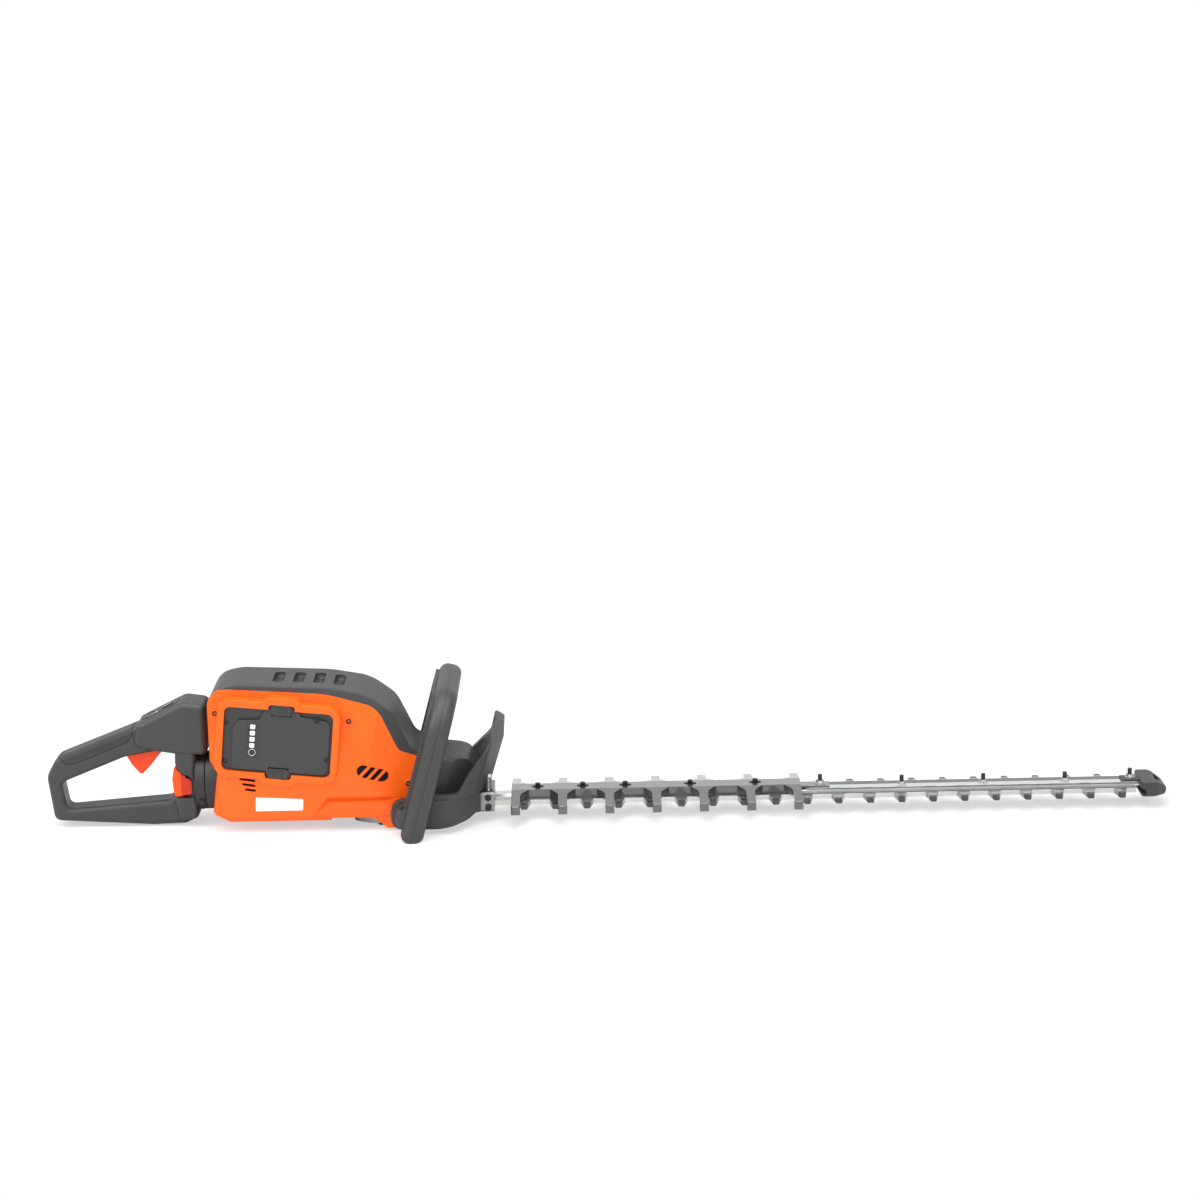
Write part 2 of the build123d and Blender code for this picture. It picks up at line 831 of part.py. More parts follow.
def knife(low):
    near = tooth_row(-1, tooth_count, first_tooth_x)
    far = tooth_row(1, tooth_count - 1, first_tooth_x + tooth_pitch / 2)
    ends = [(knife_end, -knife_half_width), (knife_end, knife_half_width)]
    tail = [(gear_axis_x, knife_half_width), (gear_axis_x, -knife_half_width)]
    plate = make_face(Polyline(*near, *ends, *reversed(far), *tail, close=True))
    slot_x = eccentric_radius + yoke_gap
    slot_y = eccentric_radius + crank_throw + yoke_gap
    spot = Pos(gear_axis_x, 0)
    plate += spot * RectangleRounded(2 * (slot_x + yoke_wall), 2 * (slot_y + yoke_wall), 4)
    plate -= spot * Rectangle(2 * slot_x, 2 * slot_y)
    for place in stud_places:
        length = 2 * (knife_travel + stud_radius + 2 * free_gap)
        plate -= Pos(place, 0) * SlotOverall(length, 2 * (stud_radius + free_gap))
    return upward(plate, low, low + knife_thickness)


def guide_bar():
    length = bar_end - bar_start
    plan = Pos((bar_end + bar_start) / 2, 0) * RectangleRounded(length, 2 * bar_half_width, 4)
    half_section = [(bar_half_width, bar_bottom, 0), (bar_half_width, bar_top - bar_shoulder, 0),
                    (bar_crown_half, bar_top, 1)]
    bar = upward(plan, bar_bottom, bar_top) & along(mirrored_face(half_section), bar_start, bar_end)
    for place in stud_places:
        bar -= upright(place, 0, stud_radius, bar_bottom - 1, bar_top + 1)
    for place in guard_screw_places:
        bar -= upright(place, 0, screw_radius, bar_bottom + 0.5, bar_top + 1)
    return bar


def seat_height(place):
    return bar_top + (tongue_thickness if place in (stud_places[0], stud_places[-1]) else 0)


def blade_studs():
    studs = []
    head_top = knife_bottom - 2 * slide_gap
    low = head_top - stud_head_height
    for place in stud_places:
        stud = upright(place, 0, stud_radius, low, seat_height(place) + nut_height + stud_proud)
        stud += upright(place, 0, stud_head_radius, low, head_top)
        studs.append(stud)
    return group(studs)


def blade_nuts():
    nuts = []
    for place in stud_places:
        low = seat_height(place)
        nut = upward(Pos(place, 0) * RegularPolygon(nut_radius, 6), low, low + nut_height)
        nut += upright(place, 0, flange_radius, low, low + flange_height)
        nuts.append(nut - upright(place, 0, stud_radius, low - 1, low + nut_height + 1))
    return group(nuts)


def finger_face(centre, side):
    half = finger_width / 2
    root = finger_root_width / 2
    inside = guard_half_width - 2
    bend = guard_half_width + 12
    corners = [(-root, inside, 0), (-half, bend, 14), (-half, guard_reach, finger_tip_round)]
    mirrored = [(-x, y, radius) for x, y, radius in reversed(corners)]
    face = rounded_face(corners + mirrored)
    return Pos(centre, 0) * (face if side > 0 else mirror(face, Plane.XZ))


def blade_guard():
    middle = Pos((guard_start + guard_end) / 2, 0)
    length = guard_end - guard_start
    plan = middle * Rectangle(length, 2 * guard_half_width)
    for index in range(finger_count):
        for side in (-1, 1):
            plan += finger_face(first_finger_x + index * finger_pitch, side)
    plan &= middle * Rectangle(length, 3 * guard_reach)
    over_knife = tooth_reach + 2.0
    under = bar_bottom + free_gap
    inner = bar_half_width + free_gap
    half_profile = [
        (inner, bar_top, 0), (inner, under, 0), (over_knife, under, 2),
        (over_knife, finger_tip_bottom, 0), (guard_reach, finger_tip_bottom, 2),
        (guard_reach, finger_tip_top, 2), (guard_half_width, guard_top, 2),
    ]
    mirrored = [(-y, z, radius) for y, z, radius in reversed(half_profile)]
    profile = rounded_face(half_profile + mirrored)
    guard = upward(plan, finger_tip_bottom - 5, guard_top + 5)
    guard &= along(profile, guard_start - 5, guard_end + 5)
    tongue_half = bar_half_width - 1
    tongue_span = (bar_top, bar_top + tongue_thickness)
    guard += block((guard_end - 4, tongue_end), (-tongue_half, tongue_half), tongue_span)
    guard -= upright(stud_places[0], 0, stud_radius, bar_top - 1, bar_top + tongue_thickness + 1)
    for place in guard_screw_places:
        recess = Pos(place, 0) * SlotOverall(2 * screw_head_radius + 6, 2 * screw_head_radius + 2)
        guard -= upward(recess, guard_top - screw_sink, guard_top + 1)
        guard -= upright(place, 0, screw_radius, bar_top - 1, guard_top)
    return guard


def guard_screws():
    screws = []
    seat = guard_top - screw_sink
    for place in guard_screw_places:
        screw = upright(place, 0, screw_radius, bar_bottom + 0.5, seat)
        screw += upright(place, 0, screw_head_radius, seat, seat + screw_head_height)
        screw -= upward(Pos(place, 0) * RegularPolygon(2.0, 6), seat + 0.8, seat + 5)
        screws.append(screw)
    return group(screws)


def tip_guard():
    low = knife_bottom - tip_wall
    high = bar_top + tip_crown
    shoulder = tip_end - tip_slope
    plan_corners = [(tip_rear, -tip_half_width, 4), (shoulder, -tip_half_width, 15), (tip_end, -tip_nose, 13)]
    mirrored = [(x, -y, radius) for x, y, radius in reversed(plan_corners)]
    cap = upward(rounded_face(plan_corners + mirrored), low, high)
    side = [
        (tip_rear - 1, low, 0), (tip_end - 4, low, 4), (tip_end, low + 8, 6), (shoulder, high, 16),
        (tip_rear - 1, high, 0),
    ]
    cap &= across(rounded_face(side), -tip_half_width - 5, tip_half_width + 5)
    rims = [edge for edge in cap.edges() if abs(abs(edge.center().Y) - tip_half_width) < 0.01]
    rims = [edge for edge in rims if abs(edge.center().Z - high) < 0.01]
    cap = fillet(rims, tip_round)
    tongue_half = bar_half_width - 1
    tongue_span = (bar_top, bar_top + tongue_thickness)
    cap += block((tongue_back, tip_rear + 4), (-tongue_half, tongue_half), tongue_span)
    cap -= upright(stud_places[-1], 0, stud_radius, bar_top - 1, bar_top + tongue_thickness + 1)
    inside = knife_end + knife_travel + 2
    cap -= block((tip_rear - 20, inside), (-60, 60), (knife_bottom - 2 * free_gap, bar_bottom))
    cap -= block((tip_rear - 20, bar_end), (-bar_half_width, bar_half_width), (bar_bottom - 1, bar_top))
    slot = Pos(tip_end - hang_inset, 0) * SlotOverall(hang_length, hang_width, 90)
    return cap - upward(slot, low - 5, high + 5)


def blade_clamp():
    low = knife_bottom - 6
    high = bar_top + 9
    outer = [(-clamp_half, low, 3), (clamp_half, low, 3), (clamp_half, high, 5), (-clamp_half, high, 5)]
    ring = along(rounded_face(outer), clamp_rear, clamp_front)
    knife_span = (knife_bottom - free_gap, bar_top)
    return ring - block((clamp_rear - 5, clamp_front + 5), (-knife_slot, knife_slot), knife_span)


# Front housing and hand guard

def nose_form():
    side = [
        (body_front, body_bottom, 0), (body_front, body_front_top, 0), (-200, 88, 40), (-166, 82, 14),
        (clamp_rear, 66, 10), (clamp_rear, 14, 0),
    ]
    section = [(40, 12, 10), (body_front_half, 48, 40), (38, 84, 14), (18, 96, 6)]
    nose = across(rounded_face(side), -80, 80) & along(mirrored_face(section), body_front, clamp_rear)
    plan = [(body_front, -body_front_half, 0), (-190, -42, 40), (clamp_rear, -27, 0)]
    flipped = [(x, -y, radius) for x, y, radius in reversed(plan)]
    return nose & upward(rounded_face(plan + flipped), 0, zone_top)


def front_housing():
    nose = nose_form()
    plan_corners = [(body_front, -tray_half, 0), (-185, -tray_half, 24), (-150, -34, 14), (-143, -20, 4)]
    mirrored = [(x, -y, radius) for x, y, radius in reversed(plan_corners)]
    side = [(body_front, tray_bottom, 0), (-200, tray_bottom, 30), (-166, tray_bottom + 5, 20), (-143, 27, 4),
            (-143, tray_top, 0), (body_front, tray_top, 0)]
    tray = upward(rounded_face(plan_corners + mirrored), tray_bottom - 5, tray_top)
    tray &= across(rounded_face(side), -tray_half - 5, tray_half + 5)
    arm = block((arm_rear, body_front), (tray_half - arm_thickness, tray_half), (tray_bottom, tray_top))
    arm = fillet(arm.edges().filter_by(Axis.Y).filter_by_position(Axis.X, arm_rear - 1, arm_rear + 1), 14)
    front = nose + tray + both_sides(arm)
    front -= upward(gear_case_outline(free_gap), tray_bottom - 5, case_top + free_gap)
    front -= block((body_front - 5, clamp_front), (-knife_slot, knife_slot), (knife_bottom - 2, bar_top + 1))
    front -= block((clamp_rear, -100), (-60, 60), (-10, tray_top))
    return front


def visor_plan(inset):
    half = tray_half - 1 - inset
    back = visor_back - 2 * inset
    nose = visor_nose - 1.6 * inset
    corner = visor_corner_x - inset / 3
    wide = visor_shoulder[1] - inset
    shoulder = visor_shoulder[0] - inset
    near = [(back, -half, 0), (corner, -half, 16), (shoulder, -wide, 16)]
    far = [(x, -y, radius) for x, y, radius in reversed(near)]
    return rounded_face(near + [(nose, 0, 30)] + far)


def hand_guard():
    wall_plan = visor_plan(0) - visor_plan(guard_wall)
    lean = tan(radians(visor_lean))
    rise = visor_bend - tray_top
    slant = rise / cos(radians(visor_lean))
    wall = extrude(Plane.XY.offset(tray_top) * wall_plan, slant, dir=(lean, 0, 1))
    upper_lean = tan(radians(visor_tip_lean))
    upper = extrude(Plane.XY * Pos(lean * rise, 0, visor_bend) * wall_plan, 40, dir=(upper_lean, 0, 1))
    shoulder = tray_top + 6
    edge = [(-230, tray_top, 0), (-230, shoulder, 0), (-177, shoulder, 8), (-164, 70, 12), (-139.5, 97, 16),
            (-134, visor_top - 4, 7), (-112, visor_top, 3), (-100, visor_top, 0), (-100, tray_top, 0)]
    return ((wall + upper) & across(rounded_face(edge), -tray_half - 5, tray_half + 5)) - nose_form()


# Loop handle with its switch bail

def loop_plane():
    turn = radians(loop_tilt)
    return Plane(origin=(loop_axis_x, 0, 0), x_dir=(0, 1, 0), z_dir=(cos(turn), 0, -sin(turn)))


def arch_face(outside, top, width, low, corner):
    inside = outside - width
    inner_corner = corner - width
    corners = [(-outside, low, 0), (-outside, top, corner), (outside, top, corner), (outside, low, 0),
               (inside, low, 0), (inside, top - width, inner_corner), (-inside, top - width, inner_corner),
               (-inside, low, 0)]
    return rounded_face(corners)


def loop_form():
    face = arch_face(loop_half_width, loop_top, loop_bar, -40, loop_corner)
    arch = extrude(face, loop_depth / 2, both=True)
    rims = [edge for edge in arch.edges() if abs(abs(edge.center().Z) - loop_depth / 2) < 0.01]
    rims = [edge for edge in rims if edge.center().Y > -39.9]
    arch = loop_plane() * fillet(rims, loop_edge)
    lean = tan(radians(loop_tilt))
    half = loop_depth / 2 / cos(radians(loop_tilt)) + 1
    rear = loop_axis_x - half
    front = loop_axis_x + half
    ends = [
        (rear, 0, loop_end_round), (front, 0, loop_end_round), (front + zone_top * lean, zone_top, 0),
        (rear + zone_top * lean, zone_top, 0),
    ]
    arch &= across(rounded_face(ends), -loop_half_width - 5, loop_half_width + 5)
    boss_end = loop_half_width - loop_boss_inset
    boss = crosswise(*loop_boss_place, loop_boss_radius, tray_half, boss_end)
    boss = fillet(boss.edges().filter_by_position(Axis.Y, boss_end - 1, boss_end + 1), 4)
    return arch + both_sides(boss)


def bail_form(margin, low, high):
    outside = loop_half_width - (loop_bar - bail_width) / 2 + margin
    top = loop_top - (loop_bar - bail_width) / 2 + margin
    corner = loop_corner - (loop_bar - bail_width) / 2 + margin
    face = arch_face(outside, top, bail_width + 2 * margin, bail_low - margin, corner)
    return loop_plane() * extrude(Plane.XY.offset(low) * face, high - low)


def loop_halves():
    whole = loop_form()
    rear_face = -loop_depth / 2
    groove_floor = rear_face - bail_proud + bail_height + bail_travel + free_gap
    whole -= bail_form(bail_gap, rear_face - 20, groove_floor)
    front = whole & (loop_plane() * Pos(0, 150, 60) * Box(400, 500, 120))
    rear = whole & (loop_plane() * Pos(0, 150, -60) * Box(400, 500, 120))
    return front, rear


def switch_bail():
    rear_face = -loop_depth / 2
    return bail_form(0, rear_face - bail_proud, rear_face - bail_proud + bail_height)


# Rear handle

def keypad_plane():
    turn = radians(keypad_slope)
    centre = (keypad_centre[0], 0, keypad_centre[1])
    return Plane(origin=centre, x_dir=(cos(turn), 0, sin(turn)), z_dir=(-sin(turn), 0, cos(turn)))


def keypad_point(distance):
    turn = radians(keypad_slope)
    return keypad_centre[0] + distance * cos(turn), keypad_centre[1] + distance * sin(turn)


def softened(solid, half_width, radius):
    rims = [edge for edge in solid.edges() if abs(abs(edge.center().Y) - half_width) < 0.01]
    return fillet(rims, radius)


def handle_form():
    outer = [
        (handle_rear, 64, 20), (-657, 87, 22), (-556, 126, 14), (-500, 126, 12), (-491, 80, 12),
        (-491, 10, 8), (-506, 2.5, 10), (-545, 1.5, 60), (-663, 9, 9),
    ]
    inner = [(-652, 56, 8), (-574, 87, 40), (-512, 97, 10), (-518, 33, 12), (-647, 23, 7)]
    loop = across(rounded_face(outer) - rounded_face(inner), -grip_half_width, grip_half_width)
    loop = softened(loop, grip_half_width, grip_edge)
    low = keypad_point(-head_top_reach)
    high = keypad_point(head_top_reach)
    head = [
        (-563, 103, 8), (*low, 8), (*high, 14), (head_front, 151, 8), (head_front, swivel_clear, 8),
        (-512, swivel_clear + 2, 10), (-548, 97.5, 12),
    ]
    head = softened(across(rounded_face(head), -head_half_width, head_half_width), head_half_width, head_edge)
    wall = [(-518, 31, 8), (-514, 99, 8), (-489, 99, 8), (-489, 10, 8), (-512, 7, 8)]
    wall = softened(across(rounded_face(wall), -wall_half_width, wall_half_width), wall_half_width, head_edge)
    ring_rear = swivel_face - swivel_ring_length
    ring = lengthwise(0, swivel_height, swivel_ring_radius, ring_rear, swivel_face - slide_gap)
    ring = fillet(ring.edges(), 2)
    return loop + head + wall + ring


def trigger_face(margin):
    corners = [
        (-574, 86, 3), (-568, 75, 20), (-557.5, 62, 3.5), (-549, 70, 18), (-532, 90, 8), (-526, 104, 5),
        (-541, 106, 4), (-574, 96, 3),
    ]
    face = rounded_face(corners)
    return offset(face, margin) if margin else face


def trigger_pocket():
    pivot = Pos(*trigger_pivot)
    back = Pos(-trigger_pivot[0], -trigger_pivot[1])
    space = trigger_face(1.0)
    for share in (0.25, 0.5, 0.75, 1.0):
        space += pivot * Rot(0, 0, -trigger_travel * share) * back * trigger_face(1.0)
    return across(space, -trigger_half_width - free_gap, trigger_half_width + free_gap)


def trigger():
    lever = across(trigger_face(0), -trigger_half_width, trigger_half_width)
    rims = [edge for edge in lever.edges() if abs(abs(edge.center().Y) - trigger_half_width) < 0.01]
    lever = fillet(rims, 1.5)
    return lever - crosswise(*trigger_pivot, pin_radius + shaft_gap, -20, 20)


def trigger_pin():
    reach = trigger_half_width + pin_seat
    return crosswise(*trigger_pivot, pin_radius, -reach, reach)


def trigger_spring():
    low = trigger_half_width + free_gap
    coil = crosswise(*trigger_pivot, pin_radius + 2.2, low, low + spring_width)
    coil -= crosswise(*trigger_pivot, pin_radius + 0.4, low - 1, low + spring_width + 1)
    leg = block(
        (trigger_pivot[0] - 14, trigger_pivot[0]),
        (low, low + 1.4),
        (trigger_pivot[1] + pin_radius + 0.8, trigger_pivot[1] + pin_radius + 2.2),
    )
    return coil + leg


def trigger_switch():
    return block((-540, -518), (-6, 6), (112, 122)) + block((-538, -532), (-3, 3), (110, 113))


def lever_face():
    corners = [(-517, 38, 4), (-503, 40, 4), (-502.5, 64, 4), (-509, 68, 6), (-516, 76, 1.5), (-519, 60, 8)]
    return rounded_face(corners)


# Side plates of the lever that show in the handle's side windows
def lever_cheeks():
    face = rounded_face([(-515, 40, 3), (-496, 41, 4), (-496, 59, 5), (-515, 66, 3)])
    return both_sides(across(face, lever_half_width - lever_cheek, lever_half_width))


# Hinge lug under the lever; the pocket round it has a margin and room for the swing
def lever_lug(margin, swing):
    x, z = lever_pivot
    radius = lug_radius + margin
    half = lug_half_width + margin
    stem = block((x - radius - swing, x + radius), (-half, half), (z, lug_top))
    return crosswise(x, z, radius, -half, half) + stem


def lever_pocket():
    space = [
        (-540, lever_floor + 4, 0), (-525, lever_floor, 0), (-500, lever_floor, 4), (-500, 71, 4),
        (-512, 79, 4), (-540, 79, 0),
    ]
    pocket = across(rounded_face(space), -lever_half_width - free_gap, lever_half_width + free_gap)
    window = rounded_face([
        (-540, 38.5, 0), (-524, 37, 3), (-492.6, 37, 4), (-492.6, 61.5, 5), (-509, 69, 4), (-515, 79, 3),
        (-540, 79, 0),
    ])
    pocket += both_sides(across(window, lever_half_width - lever_cheek - free_gap, far_side))
    swing = (lug_top - lever_pivot[1]) * tan(radians(lever_travel))
    return pocket + lever_lug(free_gap, swing)


def lock_lever():
    lever = across(lever_face(), -lever_half_width, lever_half_width)
    rims = [edge for edge in lever.edges() if abs(abs(edge.center().Y) - lever_half_width) < 0.01]
    lever = fillet(rims, 1.0) + lever_cheeks() + lever_lug(0, 0)
    reach = lug_half_width + 1
    return lever - crosswise(*lever_pivot, pin_radius + shaft_gap, -reach, reach)


def lever_pin():
    reach = lug_half_width + pin_seat
    return crosswise(*lever_pivot, pin_radius, -reach, reach)


def swivel_sleeve():
    sleeve = lengthwise(0, swivel_height, swivel_ring_radius, swivel_face, body_rear + sleeve_sink)
    sleeve -= body_form(0)
    sleeve += lengthwise(0, swivel_height, swivel_stub_radius, retainer_face, swivel_face + 1)
    return sleeve - lengthwise(0, swivel_height, wire_bore, retainer_face - 1, body_rear + 2 * sleeve_sink)


def swivel_retainer():
    ring = lengthwise(0, swivel_height, retainer_radius, retainer_face - retainer_length, retainer_face)
    return ring - lengthwise(0, swivel_height, wire_bore, retainer_face - 10, retainer_face + 1)


def keypad_slab(length, width, corner, low, high):
    return keypad_plane() * upward(RectangleRounded(length, width, corner), low, high)


def power_button_well(margin, low, high):
    return keypad_plane() * Pos(-13, 0, 0) * upward(Circle(power_button_radius + margin), low, high)


def mode_button_well(margin, low, high):
    face = RectangleRounded(mode_button_length + 2 * margin, mode_button_width + 2 * margin, 2)
    return keypad_plane() * Pos(9, 0, 0) * upward(face, low, high)


def button_low():
    return -keypad_thickness - 1.0


def handle_pieces():
    form = handle_form()
    grip = form & across(grip_face(grip_groove), -60, 60)
    core = across(grip_face(grip_inset), -grip_half_width + grip_inset, grip_half_width - grip_inset)
    grip -= core
    case = form - across(grip_face(0), -60, 60) + (form & core)
    case -= trigger_pocket()
    case -= trigger_pin()
    low = trigger_half_width + free_gap
    case -= crosswise(*trigger_pivot, pin_radius + 2.6, low - 1, low + spring_width + 0.3)
    case -= block(
        (trigger_pivot[0] - 15, trigger_pivot[0]),
        (low - 1, low + 1.8),
        (trigger_pivot[1] + pin_radius + 0.4, trigger_pivot[1] + pin_radius + 2.6),
    )
    case -= trigger_switch()
    case -= lever_pocket()
    case -= lever_pin()
    bore = swivel_stub_radius + shaft_gap
    case -= lengthwise(0, swivel_height, bore, retainer_face - 1, swivel_face + 5)
    pocket = retainer_radius + free_gap
    pocket_rear = retainer_face - retainer_length - free_gap
    case -= lengthwise(0, swivel_height, pocket, pocket_rear, retainer_face + slide_gap)
    case -= keypad_slab(keypad_length, keypad_width, 5, -keypad_thickness, 20)
    case -= power_button_well(1.0, button_low() - button_travel - 0.4, 0)
    case -= mode_button_well(1.0, button_low() - button_travel - 0.4, 0)
    right = case & block((-900, 0), (-100, 0), (-50, 300))
    left = case & block((-900, 0), (0, 100), (-50, 300))
    return right, left, grip


def grip_face(inset):
    corners = [
        (-661, 97, 0), (-646, 79, 7), (-632, 80.5, 20), (-571, 105.5, 10), (-563, 115, 5), (-562, 145, 0),
        (-640, 145, 0),
    ]
    face = rounded_face(corners)
    return offset(face, -inset) if inset else face


def keypad_panel():
    panel = keypad_slab(keypad_length - 2 * seat_gap, keypad_width - 2 * seat_gap, 5, -keypad_thickness, 0.6)
    panel -= power_button_well(free_gap, -20, 20)
    return panel - mode_button_well(free_gap, -20, 20)


def power_button():
    return power_button_well(0, button_low(), 1.6)


def mode_button():
    return mode_button_well(0, button_low(), 1.6)


parts = {}
parts["right_housing"], parts["left_housing"], parts["top_cover"] = body_shells()
parts["battery_bay"] = battery_bay()
parts["battery_terminals"] = battery_terminals()
parts["control_board"] = control_board()
parts["battery_case"] = battery_case()
parts["battery_cells"] = battery_cells()
parts["battery_cover"] = battery_cover()
parts["upper_battery_latch"] = battery_latch(1)
parts["lower_battery_latch"] = battery_latch(-1)
parts["charge_indicator"] = indicator_panel()
parts["charge_button"] = indicator_button()
parts["drive_gear"] = drive_gear()
parts["lower_eccentric"] = eccentric(-1, knife_bottom)
parts["upper_eccentric"] = eccentric(1, knife_bottom + knife_thickness + slide_gap)
parts["crank_shaft"] = crank_shaft()
parts["crank_bearings"] = crank_bearings()
parts["gear_case"] = gear_case()
parts["gear_case_cover"] = gear_case_cover()
parts["gear_case_bolts"] = gear_case_bolts()
parts["motor_can"] = motor_can()
parts["motor_bearings"] = motor_bearings()
parts["motor_stator"] = motor_stator()
parts["rotor_core"] = rotor_core()
parts["motor_shaft"] = motor_shaft()
parts["motor_pinion"] = motor_pinion()
parts["cooling_fan"] = cooling_fan()
parts["lower_knife"] = knife(knife_bottom)
parts["upper_knife"] = knife(knife_bottom + knife_thickness + slide_gap)
parts["guide_bar"] = guide_bar()
parts["blade_studs"] = blade_studs()
parts["blade_nuts"] = blade_nuts()
parts["blade_guard"] = blade_guard()
parts["guard_screws"] = guard_screws()
parts["tip_guard"] = tip_guard()
parts["blade_clamp"] = blade_clamp()
parts["front_housing"] = front_housing()
parts["hand_guard"] = hand_guard()
parts["front_loop_half"], parts["rear_loop_half"] = loop_halves()
parts["switch_bail"] = switch_bail()
parts["right_handle_half"], parts["left_handle_half"], parts["soft_grip"] = handle_pieces()
parts["trigger"] = trigger()
parts["trigger_pin"] = trigger_pin()
parts["trigger_spring"] = trigger_spring()
parts["trigger_switch"] = trigger_switch()
parts["lock_lever"] = lock_lever()
parts["lever_pin"] = lever_pin()
parts["swivel_sleeve"] = swivel_sleeve()
parts["swivel_retainer"] = swivel_retainer()
parts["keypad_panel"] = keypad_panel()
parts["power_button"] = power_button()
parts["mode_button"] = mode_button()

os.makedirs("parts", exist_ok=True)
for name, solid in parts.items():
    export_step(solid, f"parts/{name}.step")
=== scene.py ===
import math
import bpy
from mathutils import Matrix, Vector
from mathutils.bvhtree import BVHTree


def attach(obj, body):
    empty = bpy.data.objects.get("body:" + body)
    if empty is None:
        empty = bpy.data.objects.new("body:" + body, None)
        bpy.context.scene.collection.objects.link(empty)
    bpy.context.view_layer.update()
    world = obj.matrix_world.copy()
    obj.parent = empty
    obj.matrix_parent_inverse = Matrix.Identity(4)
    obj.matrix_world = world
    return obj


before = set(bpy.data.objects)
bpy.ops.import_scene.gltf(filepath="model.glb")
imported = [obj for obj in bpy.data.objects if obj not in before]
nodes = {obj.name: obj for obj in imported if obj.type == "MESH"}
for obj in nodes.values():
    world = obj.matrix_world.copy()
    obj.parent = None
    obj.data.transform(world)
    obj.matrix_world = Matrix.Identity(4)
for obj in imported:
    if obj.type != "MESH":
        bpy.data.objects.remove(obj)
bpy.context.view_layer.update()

mm = 0.001
perMetre = 1000.0  # a pattern's scale is this over its size in millimetres
hair = 1e-6  # metres, under which two places count as one
print("frame loaded", len(nodes), "nodes")


# sRGB hex to the linear values that shaders take
def linear(hexColour):
    values = [int(hexColour[i:i + 2], 16) / 255 for i in (1, 3, 5)]
    return [v / 12.92 if v <= 0.04045 else ((v + 0.055) / 1.055) ** 2.4 for v in values] + [1.0]


# one node with its settings and links
def addNode(tree, kind, settings=None, links=None):
    node = tree.nodes.new(kind)
    for key, value in (settings or {}).items():
        if isinstance(key, int) or key in node.inputs:
            node.inputs[key].default_value = value
        else:
            setattr(node, key, value)
    for key, source in (links or {}).items():
        tree.links.new(source, node.inputs[key])
    return node


def newMaterial(name):
    material = bpy.data.materials.new(name)
    material.use_nodes = True
    material.node_tree.nodes.clear()
    return material, material.node_tree


# distance from a plane in the object's own coordinates
def planeDistance(tree, where, normal, offset):
    along = addNode(tree, "ShaderNodeVectorMath", {"operation": "DOT_PRODUCT", 1: normal}, {0: where})
    level = addNode(tree, "ShaderNodeMath", {"operation": "SUBTRACT", 1: offset}, {0: along.outputs["Value"]})
    return addNode(tree, "ShaderNodeMath", {"operation": "ABSOLUTE"}, {0: level.outputs[0]}).outputs[0]


# 1 inside a box in the object's own coordinates, 0 outside it
def insideBox(tree, where, low, high):
    parts = addNode(tree, "ShaderNodeSeparateXYZ", {}, {0: where})
    inside = None
    for axis, least, most in zip("XYZ", low, high):
        centred = addNode(tree, "ShaderNodeMath", {"operation": "SUBTRACT", 1: (least + most) / 2 * mm},
                          {0: parts.outputs[axis]})
        apart = addNode(tree, "ShaderNodeMath", {"operation": "ABSOLUTE"}, {0: centred.outputs[0]})
        within = addNode(tree, "ShaderNodeMath", {"operation": "LESS_THAN", 1: (most - least) / 2 * mm},
                         {0: apart.outputs[0]}).outputs[0]
        if inside:
            within = addNode(tree, "ShaderNodeMath", {"operation": "MULTIPLY"},
                             {0: inside, 1: within}).outputs[0]
        inside = within
    return inside


noiseSpan = {"From Min": 0.3, "From Max": 0.7}  # most values of a noise lie between these
plasticIor = 1.5

# moulded skin: fine pebble grain of a spark-eroded mould, soft gloss, faint flow shading; real grain is
# about 0.2 mm and is drawn coarser so that it shows. A seam is the dark parting line where two half shells
# meet, full to lineMm from its middle and gone at lineEndMm; a zone is a boxed area in another colour
mouldSet = {"flowMm": 45, "lineMm": 0.35, "lineEndMm": 0.75, "grainHighMm": 0.3, "smoother": 0.05,
            "rougher": 0.07, "coatRoughness": 0.1}


